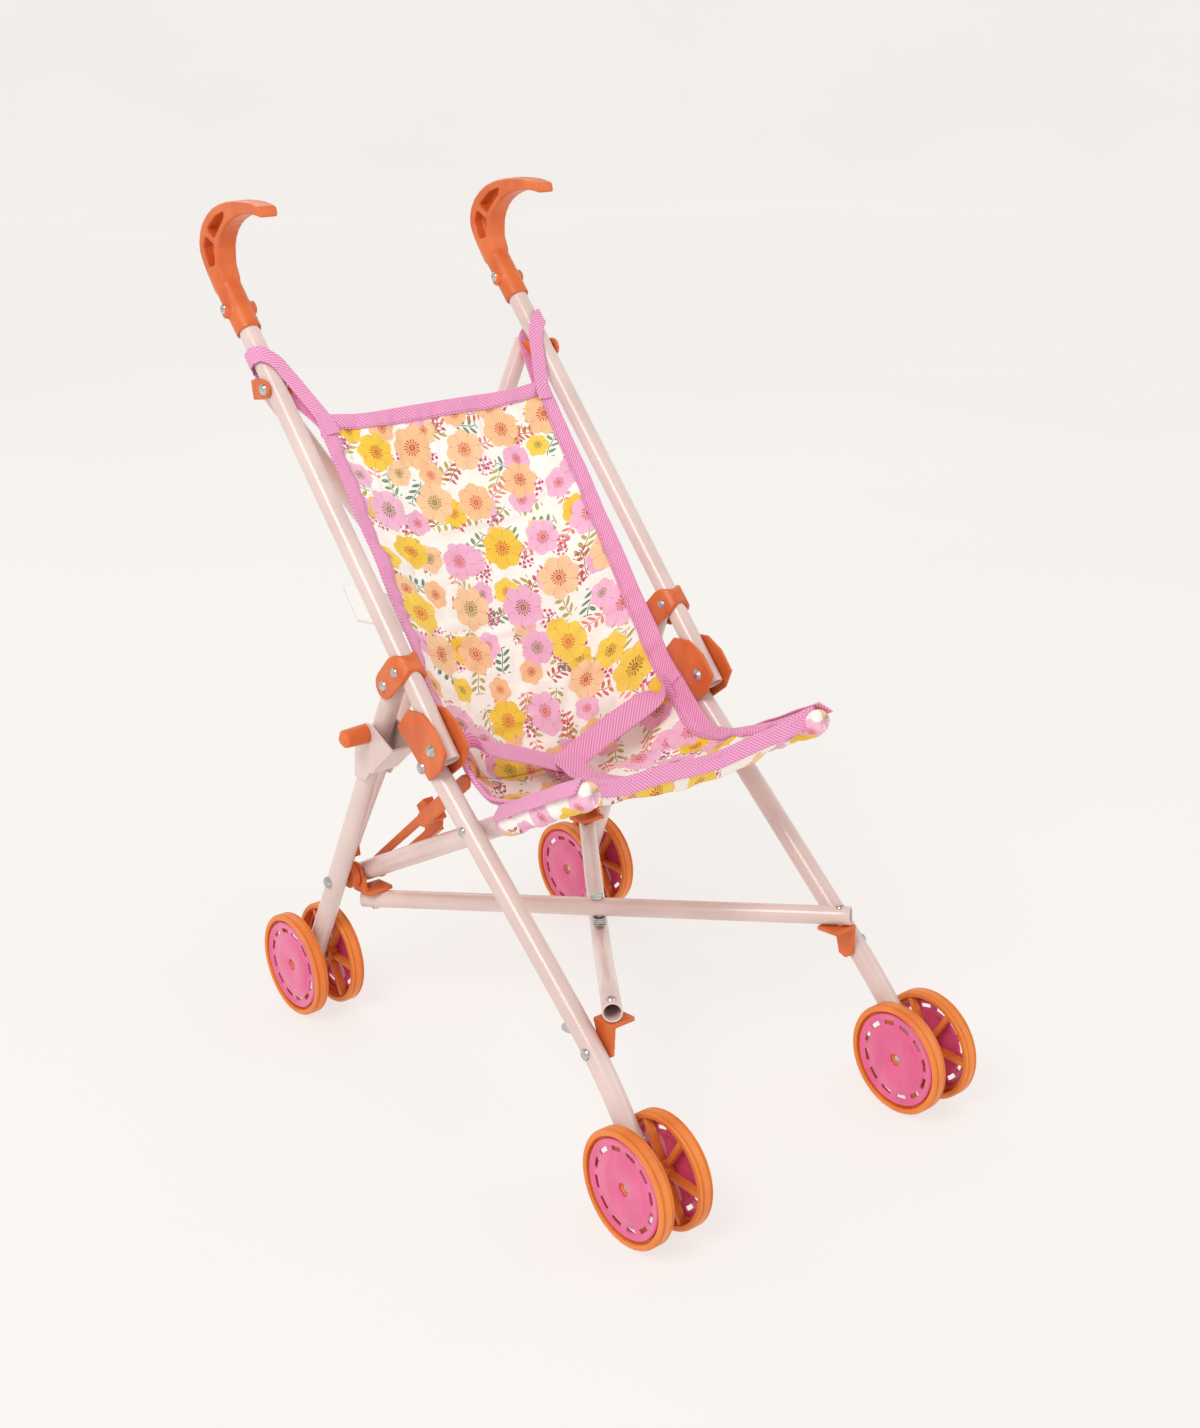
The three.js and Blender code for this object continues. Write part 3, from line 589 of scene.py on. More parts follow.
def hub_cap(name, centre, out, material, body):
    """The pressed cover: raised bead, flat ring with twelve open slots, step and shallow dome."""
    across_slot = 18
    count = SLOTS * across_slot
    turns = np.linspace(0, 2 * math.pi, count, endpoint=False)[:, None]
    spokes = np.cos(turns) * Y_AXIS + np.sin(turns) * Z_AXIS
    front = [(r * MM, h * MM) for r, h in CAP_SECTION]
    rows = front + [(r, h - CAP_SHEET) for r, h in reversed(front)]
    total = len(rows)
    points = [centre + out * X_AXIS * height + reach * spokes for reach, height in rows]
    inner = next(i for i, (reach, _) in enumerate(front) if reach > SLOT_INNER)
    outer = inner + 1
    holed = (inner, total - 1 - outer)

    def open_at(j):
        return SLOT_OPEN[0] <= j % across_slot < SLOT_OPEN[1]

    def at(i, j):
        return (i % total) * count + j % count

    def back(i, j):
        return at(total - 1 - i, j)

    faces = [(at(i, j), at(i, j + 1), at(i + 1, j + 1), at(i + 1, j))
             for i in range(total) for j in range(count) if not (i in holed and open_at(j))]
    for j in range(count):
        if open_at(j):
            faces.append((at(inner, j), at(inner, j + 1), back(inner, j + 1), back(inner, j)))
            faces.append((at(outer, j), back(outer, j), back(outer, j + 1), at(outer, j + 1)))
        if open_at(j) != open_at(j - 1):
            faces.append((at(inner, j), at(outer, j), back(outer, j), back(inner, j)))
    mesh = outward(mesh_from(name, np.concatenate(points), faces))
    return link(name, mesh, material, body)


def wheel(node, cover):
    low, high = map(np.array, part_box(node))
    cap_low, cap_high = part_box(cover)
    centre = (low + high) / 2
    out = 1 if cap_low.x + cap_high.x > 2 * centre[0] else -1
    half = (high - low)[0] / 2
    axis = out * X_AXIS
    parts = Parts()
    web = [(RIM_IN + a * MM, half - b * MM) for a, b in ((0.5, 3.9), (-2.2, 3.9), (-2.2, 3.0), (0.5, 3.0))]
    hub = [(BORE, -half), (HUB_R - 0.8 * MM, -half), (HUB_R, -half + 0.8 * MM), (HUB_R, 1.4 * MM),
           (HUB_R - 0.6 * MM, 2 * MM), (BORE, 2 * MM)]
    parts.add(node, *lathe(rim_profile(2 * half), centre, axis, Y_AXIS, 128, True))
    parts.add(node, *lathe(hub, centre, axis, Y_AXIS, 48, True))
    for index in range(6):
        parts.add(node,
                  *spoke_block(centre, out, index * math.pi / 3, SPOKE_WIDE, -half + 1 * MM,
                               half - SPOKE_WIDE, HUB_R - 0.4 * MM, RIM_IN + 0.6 * MM))
    parts.add(node, *lathe(web, centre, axis, Y_AXIS, 96, True))
    mesh = outward(mesh_from("tyre_" + node, np.concatenate(parts.points[node]), parts.faces[node]))
    made = link("tyre_" + node, mesh, TYRE, node)
    made.modifiers.new("Normals", "WEIGHTED_NORMAL").keep_sharp = True
    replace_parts(made, node)
    centre[0] = (cap_high.x if out > 0 else cap_low.x) - out * CAP_LIFT
    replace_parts(hub_cap("cap_" + node, centre, out, PINK, body_of(cover)), cover)


def wheels():
    for end in ("front", "rear"):
        for side in SIDES:
            for which in ("outer", "inner"):
                wheel(f"{end}_wheel_{side}_{which}", f"{end}_disc_{side}_{which}")


# ---------------------------------------------------------------- fittings

def fittings():
    for side in SIDES:
        for kind, voxel, passes in (("handle", 0.8, 7), ("collar", 0.45, 6), ("elbow_bracket", 0.42, 5),
                                    ("corner_bracket", 0.45, 5), ("front_bracket", 0.45, 5),
                                    ("rear_lug", 0.4, 5),
                                    ("top_clip", 0.4, 5)):
            moulded(f"{kind}_{side}", voxel, passes, ORANGE)
    moulded("lock_strut", 0.4, 4, ORANGE)
    moulded("latch", 0.35, 3, PAINT)
    moulded("latch_knob", 0.4, 6, ORANGE)


def closest(path, point):
    """The point of a path nearest to a place, and the path's direction there."""
    steps = np.linalg.norm(path - point, axis=1)
    index = int(np.clip(steps.argmin(), 1, len(path) - 2))
    ahead = path[index + 1] - path[index - 1]
    ahead /= np.linalg.norm(ahead)
    return path[index] + ahead * ((point - path[index]) @ ahead), ahead


def crossing(one, other):
    """Where two paths cross in the side view, on the first."""
    best = min(((np.linalg.norm(p[1:] - closest(other * (0, 1, 1), p * (0, 1, 1))[0][1:]), i)
                for i, p in enumerate(one)))
    return one[best[1]]


def rivets():
    parts = Parts()
    for side, sign in SIDES.items():
        out = np.array((sign, 0.0, 0.0))

        def faces_of(node):
            low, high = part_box(node)
            return (high.x, low.x) if sign > 0 else (low.x, high.x)

        def pin(body, at, outer, inner=None, radius=4.0, height=2.0):
            dome(parts, body, (outer, at[1], at[2]), out, radius * MM, height * MM)
            if inner is not None:
                dome(parts, body, (inner, at[1], at[2]), -out, radius * MM, height * MM)

        front, rear = f"front_{side}", f"rear_{side}"
        plate_out, plate_in = faces_of(f"elbow_bracket_{side}")
        elbow = place(f"fold_{side}")
        pin(front, elbow, plate_out, plate_in, 4.2, 2.2)
        leg = PATH[f"front_leg_{side}"]
        top = leg[0] if leg[0][2] > leg[-1][2] else leg[-1]
        foot = leg[-1] if leg[0][2] > leg[-1][2] else leg[0]
        down = (foot - top) / np.linalg.norm(foot - top)
        pin(front, top + down * 9 * MM, plate_out, plate_in, 4.0, 2.0)
        strap_out, strap_in = faces_of(f"collar_{side}")
        rear_top = place(f"rear_fold_{side}")
        on_tube, _ = closest(PATH[f"push_tube_{side}"], rear_top)
        pin(f"push_{side}", rear_top, strap_out, strap_in, 3.8, 2.0)
        pin(f"push_{side}", on_tube, strap_out, strap_in, 3.4, 1.7)
        meet = crossing(leg, PATH[f"seat_rail_{side}"])
        skin = RADIUS[f"front_leg_{side}"]
        pin(front, meet, meet[0] + sign * (skin - 0.5 * MM), None, 3.6, 2.0)
        low = place(f"front_bracket_turn_{side}")
        at_leg, _ = closest(leg, low)
        pin(front, low, at_leg[0] + sign * (skin - 0.5 * MM), None, 4.0, 2.2)
        pivot = place(f"corner_turn_{side}")
        at_rear, _ = closest(PATH[f"rear_leg_{side}"], pivot)
        pin(rear, pivot, at_rear[0] + sign * (skin - 0.5 * MM), None, 3.8, 2.0)
        for cross_node, joint in ((f"lower_cross_{side}", f"lower_cross_turn_{side}"),
                                  (f"rear_cross_{side}", f"rear_cross_turn_{side}")):
            line = PATH[cross_node]
            hinge = place(joint)
            axis = np.array(JOINT[joint]["axis"], float)
            axis /= np.linalg.norm(axis)
            near_end, _ = closest(line, hinge)
            far_end = line[-1] if np.linalg.norm(line[0] - hinge) < np.linalg.norm(line[-1]
                                                                                   - hinge) else line[0]
            inset = (near_end - far_end) / np.linalg.norm(near_end - far_end)
            for at in (near_end, far_end + inset * 7 * MM):
                for way in (1, -1):
                    dome(parts, f"{cross_node}", at + axis * way * (RADIUS[cross_node] - 0.4 * MM),
                         axis * way, 3.2 * MM, 1.8 * MM)
        grip_low, grip_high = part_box(f"handle_{side}")
        tube_path = PATH[f"push_tube_{side}"]
        head = tube_path[-1] if tube_path[-1][2] > tube_path[0][2] else tube_path[0]
        heel = tube_path[0] if tube_path[-1][2] > tube_path[0][2] else tube_path[-1]
        back_down = (heel - head) / np.linalg.norm(heel - head)
        screw = head + back_down * 20 * MM
        for way in (1, -1):
            dome(parts, f"push_{side}",
                 (grip_low.x + 0.3 * MM if way < 0 else grip_high.x - 0.3 * MM, screw[1], screw[2]),
                 np.array((way, 0.0, 0.0)), 3.4 * MM, 1.3 * MM)
        clip_out, clip_in = faces_of(f"top_clip_{side}")
        hinge = place(f"clip_turn_{side}")
        dome(parts, f"clip_{side}", (clip_out, hinge[1], hinge[2]), out, 4.0 * MM, 2.4 * MM)
    parts.build("rivets", STEEL, "bright_steel")
    for node in NODES:
        if node.startswith(("elbow_rivet", "rear_rivet", "front_axle", "rear_axle",
                            "cross_bolt", "cross_nut", "cross_spring")):
            NODES[node].data.materials.clear()
            NODES[node].data.materials.append(STEEL)


tubes()
wheels()
fittings()
rivets()

# ---------------------------------------------------------------- cloth materials

def twill_with_painted_rib_light(name, light, dark):
    """Cotton webbing: steep diagonal ribs, uneven yarn, a soft sheen, with painted highlight on the rib tops
    and painted shade in the grooves.
    """
    look = Look(name, 0.82, Sheen_Weight=0.25, Sheen_Roughness=0.5, Specular_IOR_Level=0.25)
    uv = look.scaled(look.uv(), 1000)
    parts = look.add("SeparateXYZ", {0: uv})
    wander = look.noise(uv, 0.35, 3)
    lean = look.plus(look.times(parts.outputs[0], 2.5), look.times(parts.outputs[1], 2.3))
    ribs = look.wave(look.plus(lean, look.times(wander, 1.2)))
    yarn = look.wave(look.times(parts.outputs[0], 15.0))
    height = look.plus(look.times(ribs, 0.42), look.times(yarn, 0.1))
    # Painted highlight and shade: the rib tops take the light colour and the grooves the dark colour,
    # following the rib height.
    tone = look.mix(look.span(height, -0.5, 0.45), dark, light)
    fuzz = look.noise(uv, 2.4, 5, 0.7)
    look.colour(look.mix(look.span(fuzz, 0.35, 0.75, 0.0, 0.28), tone,
                         tuple(min(1, c * 1.35) for c in light[:3]) + (1.0,)))
    look.bump(height, 0.00022, 0.8)
    look.bump(fuzz, 0.00006, 0.4)
    return look.material


class Print(Look):
    """Printed cotton: scattered open flowers, leaf sprigs and berries over an off-white ground."""

    def __init__(self, name):
        super().__init__(name, 0.86, Sheen_Weight=0.12, Sheen_Roughness=0.5, Specular_IOR_Level=0.2)
        self.cloth = self.scaled(self.uv(), 1000)

    def cells(self, size, shift, loose):
        """Offset from the nearest motif's centre, that motif's turn, and its random colour."""
        moved = self.add("VectorMath", {0: self.cloth, 1: shift}, operation="ADD").outputs[0]
        grid = self.add("TexVoronoi", {"Vector": moved, "Scale": 1 / size, "Randomness": loose},
                        voronoi_dimensions="2D", feature="F1")
        offset = self.add("VectorMath", {0: moved, 1: grid.outputs["Position"]},
                          operation="SUBTRACT").outputs[0]
        lot = self.add("SeparateColor", {0: grid.outputs["Color"]})
        return offset, lot.outputs

    def polar(self, offset):
        parts = self.add("SeparateXYZ", {0: offset}).outputs
        reach = self.add("VectorMath", {0: offset}, operation="LENGTH").outputs["Value"]
        return reach, self.math("ARCTAN2", parts[1], parts[0])

    def pick(self, lot, colours):
        ramp = self.add("ValToRGB", {0: lot})
        ramp.color_ramp.interpolation = "CONSTANT"
        stops = ramp.color_ramp.elements
        while len(stops) < len(colours):
            stops.new(0.5)
        for index, colour in enumerate(colours):
            stops[index].position = index / len(colours)
            stops[index].color = colour
        return ramp.outputs[0]

    def flowers(self, ground, size, shift, radius, petals):
        offset, lot = self.cells(size, shift, 0.42)
        reach, turn = self.polar(offset)
        spin = self.plus(turn, self.times(lot[1], 6.28))
        lobes = self.math("ABSOLUTE", self.math("COSINE", self.times(spin, petals / 2)))
        frill = self.wave(self.times(spin, petals * 5.0))
        grow = self.times(self.plus(0.86, self.times(lot[2], 0.22)), radius)
        edge = self.times(grow,
                          self.plus(0.84, self.plus(self.times(lobes, 0.16), self.times(frill, 0.022))))
        share = self.math("DIVIDE", reach, edge)
        mask = self.span(share, 0.97, 1.0, 1.0, 0.0)
        petal = self.pick(lot[0],
                          [linear(248, 214, 92), linear(248, 200, 152), linear(245, 192, 218),
                           linear(249, 208, 164), linear(246, 206, 74), linear(243, 184, 212)])
        deep = self.pick(lot[0],
                         [linear(230, 172, 44), linear(234, 156, 104), linear(228, 140, 180),
                          linear(232, 162, 114), linear(226, 160, 34), linear(222, 128, 170)])
        vein = self.wave(self.plus(self.times(spin, petals * 9.0),
                                   self.times(self.noise(offset, 0.25, 2), 5.0)))
        lines = self.times(self.span(vein, 0.45, 0.95), self.span(share, 0.98, 0.3, 0.08, 0.5))
        gap = self.times(self.span(lobes, 0.22, 0.0), self.span(share, 0.35, 0.9, 0.15, 0.75))
        tone = self.mix(self.math("MAXIMUM", lines, gap), petal, deep)
        tone = self.mix(self.span(share, 0.42, 0.12, 0.0, 0.45), tone, deep)
        stamen = self.times(self.span(self.wave(self.times(spin, 15.0)), 0.1, 0.6),
                            self.times(self.span(share, 0.17, 0.2), self.span(share, 0.4, 0.36)))
        heart = self.pick(lot[1],
                          [linear(196, 66, 52), linear(122, 132, 50), linear(214, 84, 58),
                           linear(150, 96, 40)])
        tone = self.mix(stamen, tone, heart)
        tone = self.mix(self.span(share, 0.15, 0.13), tone, heart)
        dots = self.span(self.wave(self.times(spin, 5.0)), 0.2, 0.7)
        tone = self.mix(self.times(dots, self.span(share, 0.1, 0.07)), tone, linear(250, 226, 150))
        return self.mix(mask, ground, tone)

    def sprigs(self, ground, size, shift, colours, length, leaf):
        """A bent stem with leaf pairs growing off it."""
        offset, lot = self.cells(size, shift, 0.75)
        angle = self.times(lot[1], 6.28)
        turned = self.add("VectorRotate", {"Vector": offset, "Angle": angle},
                          rotation_type="Z_AXIS").outputs[0]
        parts = self.add("SeparateXYZ", {0: turned}).outputs
        along = parts[0]
        bend = self.times(self.wave(self.times(along, 0.22)), 2.2)
        beside = self.math("SUBTRACT", parts[1], bend)
        out = self.math("ABSOLUTE", beside)
        within = self.span(self.math("ABSOLUTE", along), length, length - 0.5)
        stem = self.times(self.span(out, 0.42, 0.24), within)
        spaced = self.math("WRAP", along, leaf * 0.75, -leaf * 0.75)
        drift = self.times(self.math("SUBTRACT", out, leaf), 0.5)
        lean = self.math("DIVIDE", self.math("SUBTRACT", spaced, drift), leaf * 0.4)
        rise = self.math("DIVIDE", self.math("SUBTRACT", out, leaf), leaf * 0.84)
        blade = self.plus(self.times(lean, lean), self.times(rise, rise))
        leaves = self.times(self.span(blade, 1.0, 0.86), within)
        colour = self.pick(lot[0], colours)
        rib = self.span(self.math("ABSOLUTE", lean), 0.16, 0.06)
        shade = self.mix(self.times(rib, 0.45), colour, linear(252, 244, 224))
        made = self.mix(stem, ground, self.mix(0.35, colour, linear(90, 96, 60)))
        return self.mix(leaves, made, shade)

    def berries(self, ground, size, shift):
        offset, lot = self.cells(size, shift, 0.7)
        reach, turn = self.polar(offset)
        twig = self.math("ABSOLUTE", self.wave(self.plus(self.times(turn, 2.5), self.times(reach, 0.16))))
        inside = self.span(reach, 7.2, 6.8)
        made = self.mix(self.times(self.span(self.times(twig, reach), 0.7, 0.45), inside), ground,
                        linear(92, 62, 66))
        small = self.add("TexVoronoi", {"Vector": self.cloth, "Scale": 1 / 3.7, "Randomness": 0.5},
                         voronoi_dimensions="2D", feature="F1")
        near = self.times(small.outputs["Distance"], 3.7)
        berry = self.times(self.span(near, 1.35, 1.2), self.span(reach, 7.6, 7.2))
        made = self.mix(berry, made, linear(226, 104, 150))
        return self.mix(self.times(self.span(near, 0.5, 0.38), inside), made, linear(120, 34, 66))

    def finish(self):
        tone = self.mix(self.span(self.noise(self.cloth, 0.05, 3), 0.3, 0.7), linear(250, 245, 236),
                        linear(255, 252, 246))
        greens = [linear(66, 128, 104), linear(176, 164, 62), linear(104, 146, 92), linear(196, 176, 70)]
        reds = [linear(216, 84, 60), linear(232, 122, 108), linear(190, 66, 54), linear(240, 150, 120)]
        tone = self.sprigs(tone, 27, (3, 8, 0), greens, 9.4, 3.4)
        tone = self.berries(tone, 37, (11, 5, 0))
        tone = self.sprigs(tone, 34, (17, 2, 0), reds, 10.0, 3.0)
        tone = self.flowers(tone, 31, (9, 22, 0), 10.6, 6)
        tone = self.flowers(tone, 38, (24, 13, 0), 15.2, 7)
        ink = self.noise(self.cloth, 1.6, 4, 0.65)
        tone = self.mix(self.span(ink, 0.5, 0.85, 0.0, 0.16), tone, linear(255, 252, 246))
        self.colour(tone)
        parts = self.add("SeparateXYZ", {0: self.cloth}).outputs
        warp = self.wave(self.times(parts[0], 14.0))
        weft = self.wave(self.times(parts[1], 14.0))
        self.bump(self.times(warp, weft), 0.00005, 0.5)
        self.bump(self.noise(self.cloth, 0.09, 3), 0.0016, 0.35)
        return self.material


PRINT = Print("printed_fabric").finish()
# Each cloth's first colour is the painted highlight on its rib tops, and its second the painted shade in its
# grooves.
TWILL = twill_with_painted_rib_light("webbing", linear(245, 174, 211), linear(212, 114, 164))
WHITE = twill_with_painted_rib_light("tag_cloth", linear(250, 248, 244), linear(240, 238, 234))
THREAD = twill_with_painted_rib_light("thread", linear(240, 170, 212), linear(222, 136, 190))


# ---------------------------------------------------------------- the sling seat

class Sling:
    """The seat cloth as one grid, from the top edge to the front and from the right edge to the left."""

    def __init__(self, points):
        self.points = points
        self.rows, self.columns = points.shape[:2]
        down = np.gradient(points, axis=0)
        over = np.gradient(points, axis=1)
        face = np.cross(over, down)
        face /= np.linalg.norm(face, axis=2)[:, :, None]
        self.face = -face if face[self.rows // 2, self.columns // 2, 2] < 0 else face
        middle = points[:, self.columns // 2]
        self.run = np.concatenate(([0], np.linalg.norm(np.diff(middle, axis=0), axis=1).cumsum()))
        self.length = float(self.run[-1])
        wide = np.linalg.norm(np.diff(points, axis=1), axis=2).sum(1)
        self.half = wide / 2

    def sample(self, s, v, lift=0.0):
        """The point at s (-1 right edge to 1 left edge) and v (0 top to 1 front), lifted off the face."""
        s, v = np.broadcast_arrays(np.asarray(s, float), np.asarray(v, float))
        x = np.clip((s + 1) / 2, 0, 1) * (self.columns - 1)
        y = np.clip(v, 0, 1) * (self.rows - 1)
        i = np.minimum(y.astype(int), self.rows - 2)
        j = np.minimum(x.astype(int), self.columns - 2)
        a, b = (y - i)[..., None], (x - j)[..., None]

        def blend(field):
            return ((field[i, j] * (1 - b) + field[i, j + 1] * b) * (1 - a)
                    + (field[i + 1, j] * (1 - b) + field[i + 1, j + 1] * b) * a)

        return blend(self.points) + blend(self.face) * np.asarray(lift)[..., None]

    def half_at(self, v):
        return np.interp(np.asarray(v) * (self.rows - 1), np.arange(self.rows), self.half)


def seat_surface(rows=84, columns=41):
    """The upper face of the seat's two CAD solids, read by rays fanned from a line above the seat."""
    trees = [BVHTree.FromPolygons([v.co for v in NODES[n].data.vertices],
                                  [p.vertices for p in NODES[n].data.polygons])
             for n in ("seat_back", "seat_base")]
    back_low, back_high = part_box("seat_back")
    base_low, base_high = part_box("seat_base")
    eye_y, eye_z = base_high.y, (back_low.z + back_high.z) / 2 + 8 * MM

    def reach(x, angle):
        way = Vector((0, math.cos(angle), math.sin(angle)))
        found = [hit[3]
                 for hit in (tree.ray_cast(Vector((x, eye_y, eye_z)), way) for tree in trees) if hit[0]]
        return min(found) if found else None

    angles = np.radians(np.linspace(48, -176, 449))
    grid = np.zeros((rows, columns, 3))
    wide = min(-back_low.x, back_high.x)
    for j, s in enumerate(np.linspace(-1, 1, columns)):
        x = s * (wide - 4.2 * MM)
        hits = ((a, reach(x, a)) for a in angles)
        found = np.array([(a, r) for a, r in hits if r is not None])
        a = np.linspace(found[0, 0], found[-1, 0], 400)
        r = np.interp(-a, -found[:, 0], found[:, 1])
        ends = r[[0, -1]].copy()
        for _ in range(40):
            r[1:-1] = (r[:-2] + 2 * r[1:-1] + r[2:]) / 4
        r[[0, -1]] = ends
        line = np.stack((np.full_like(a, x), eye_y + r * np.cos(a), eye_z + r * np.sin(a)), axis=1)
        run = np.concatenate(([0], np.linalg.norm(np.diff(line, axis=0), axis=1).cumsum()))
        at = np.linspace(0, run[-1], rows)
        grid[:, j] = np.stack([np.interp(at, run, line[:, k]) for k in range(3)], axis=1)
    for _ in range(10):
        grid[:, 1:-1, 1:] = (grid[:, :-2, 1:] + 2 * grid[:, 1:-1, 1:] + grid[:, 2:, 1:]) / 4
        grid[:, 0, 1:] = 2 * grid[:, 1, 1:] - grid[:, 2, 1:]
        grid[:, -1, 1:] = 2 * grid[:, -2, 1:] - grid[:, -3, 1:]
    return grid


def draped(grid):
    """Lets the cloth settle under its own weight between its bound edges."""
    rows, columns = grid.shape[:2]
    mesh = mesh_from("settling", grid.reshape(-1, 3), grid_faces(rows, columns))
    piece = link("settling", mesh, None)
    group = piece.vertex_groups.new(name="bound")
    for i in range(rows):
        for j in range(columns):
            side = j in (0, columns - 1)
            end = i in (0, rows - 1)
            weight = 1.0 if side or i == 0 else 0.85 if end else 0.0
            if weight:
                group.add([i * columns + j], weight, "REPLACE")
    cloth = piece.modifiers.new("Cloth", "CLOTH")
    settings = cloth.settings
    settings.quality = 6
    settings.mass = 0.0006
    settings.tension_stiffness = 12
    settings.compression_stiffness = 6
    settings.shear_stiffness = 4
    settings.bending_stiffness = 0.05
    settings.air_damping = 2
    settings.shrink_min = -0.022
    settings.vertex_group_mass = "bound"
    cloth.collision_settings.use_collision = False
    cloth.point_cache.frame_start = 1
    cloth.point_cache.frame_end = 30
    scene = bpy.context.scene
    for step in range(1, 27):
        scene.frame_set(step)
    applied(piece)
    moved = np.empty(rows * columns * 3)
    piece.data.vertices.foreach_get("co", moved)
    moved = moved.reshape(grid.shape)
    scene.frame_set(1)
    bpy.data.objects.remove(piece)
    drift = moved - grid
    far = np.linalg.norm(drift, axis=2)[..., None]
    return grid + drift * np.minimum(1, 7 * MM / np.maximum(far, 1e-9))


def finer(grid, rows, columns):
    """A smooth resample of a grid of points."""
    def along(field, count):
        n = len(field)
        at = np.linspace(0, n - 1, count)
        i = np.minimum(at.astype(int), n - 2)
        t = (at - i).reshape((-1,) + (1,) * (field.ndim - 1))
        pad = np.concatenate((2 * field[:1] - field[1:2], field, 2 * field[-1:] - field[-2:-1]))
        a, b, c, d = pad[i], pad[i + 1], pad[i + 2], pad[i + 3]
        return 0.5 * (2 * b + (c - a) * t + (2 * a - 5 * b + 4 * c - d) * t ** 2
                      + (3 * b - a - 3 * c + d) * t ** 3)
    first = along(grid, rows)
    return np.swapaxes(along(np.swapaxes(first, 0, 1), columns), 0, 1)


def cloth_piece(name, points, uvs, thickness, material, body):
    """A grid of points as closed cloth of some thickness."""
    rows, columns = points.shape[:2]
    down, over = np.gradient(points, axis=0), np.gradient(points, axis=1)
    face = np.cross(over, down)
    face /= np.maximum(np.linalg.norm(face, axis=2), 1e-12)[:, :, None]
    upper = (points + face * thickness / 2).reshape(-1, 3)
    lower = (points - face * thickness / 2).reshape(-1, 3)
    count = rows * columns
    faces = grid_faces(rows, columns)
    faces += [tuple(count + i for i in reversed(f)) for f in faces]
    index = np.arange(count).reshape(rows, columns)
    rim = [*index[0], *index[1:, -1], *index[-1, -2::-1], *index[-2:0:-1, 0]]
    for a, b in zip(rim, rim[1:] + rim[:1]):
        faces.append((a, count + a, count + b, b))
    mesh = mesh_from(name, np.concatenate((upper, lower)), faces, np.concatenate((uvs.reshape(-1, 2),) * 2))
    return slotted(name, mesh, material, body)


def closed_band(name, sections, uvs, material, body):
    """A band made of closed sections along its length, with its ends filled."""
    rows, columns = sections.shape[:2]
    faces = grid_faces(rows, columns, False, True)
    faces += [tuple(range(columns))[::-1], tuple(range((rows - 1) * columns, rows * columns))]
    mesh = mesh_from(name, sections.reshape(-1, 3), faces, uvs.reshape(-1, 2))
    return slotted(name, mesh, material, body)


def curve_through(points, count):
    """A smooth line through points."""
    return finer(np.asarray(points, float)[:, None, :].repeat(2, axis=1), count, 2)[:, 0]


def strap(name, points, wide, width, material, body, thickness=1.1 * MM, count=90):
    """A webbing strip along points; wide gives its width direction at each of them."""
    path = curve_through(points, count)
    across = curve_through(wide, count)
    ahead = np.gradient(path, axis=0)
    step = np.linalg.norm(ahead, axis=1)
    ahead /= step[:, None]
    across -= ahead * (across * ahead).sum(1)[:, None]
    across /= np.linalg.norm(across, axis=1)[:, None]
    up = np.cross(across, ahead)
    run = np.concatenate(([0], np.linalg.norm(np.diff(path, axis=0), axis=1).cumsum()))
    half, thin = width / 2, thickness / 2
    outline = [(x * half, thin * (1 - 0.35 * abs(x) ** 6)) for x in np.linspace(-0.96, 0.96, 13)]
    outline += [(half, 0)] + [(-x, -h) for x, h in outline] + [(-half, 0)]
    sections = np.stack([path + across * x + up * h for x, h in outline], axis=1)
    uvs = np.stack([np.stack((np.full(count, x + half), run), axis=1) for x, h in outline], axis=1)
    made = closed_band(name, sections, uvs, material, body)
    return made, float(run[-1])


# Where the back meets the base, as a share of the way from the top edge to the front edge.
CREASE = 0.615
# Half the print's flat width, and how far the base's cloth lies below the back's where they meet.
HALF_FLAT = 96.5 * MM
BASE_DROP = 0.9 * MM


def hem_outline(width, lift, cloth):
    """The folded tape's closed section as (distance in from the edge, height off the sheet)."""
    outer = [(d, lift) for d in np.linspace(width, 0.8 * MM, 9)]
    outer += [(-0.75 * lift * math.sin(a) + 0.3 * MM, lift * math.cos(a))
              for a in np.linspace(0.35, math.pi - 0.35, 7)]
    outer += [(d, -lift) for d in np.linspace(0.8 * MM, width, 9)]
    return outer + [(width, -cloth), (width * 0.5, -cloth), (0.9 * MM, -cloth), (0.9 * MM, cloth),
                    (width * 0.5, cloth), (width, cloth)]


class Stitches:
    """Rows of short thread stitches."""

    def __init__(self):
        self.parts = Parts()

    def line(self, body, points, normals, pitch=2.9 * MM, long=1.9 * MM, thick=0.32 * MM):
        run = np.concatenate(([0], np.linalg.norm(np.diff(points, axis=0), axis=1).cumsum()))
        for at in np.arange(pitch, run[-1] - pitch, pitch):
            def spot(t):
                return np.array([np.interp(t, run, points[:, k]) for k in range(3)])
            a, b = spot(at), spot(at + long)
            out = np.array([np.interp(at, run, normals[:, k]) for k in range(3)])
            ahead = b - a
            ahead /= np.linalg.norm(ahead)
            side = np.cross(ahead, out)
            rows = []
            for share, size in ((0, 0.35), (0.15, 0.85), (0.5, 1.0), (0.85, 0.85), (1, 0.35)):
                centre = a + (b - a) * share - out * thick * 0.2 * (1 - size)
                rows.append(ring(centre, side, out, thick * size, 8))
            faces = grid_faces(5, 8, False, True) + [tuple(range(8))[::-1], tuple(range(32, 40))]
            self.parts.add(body, np.concatenate(rows), faces)


def squeeze(piece):
    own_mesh(piece)
    return piece


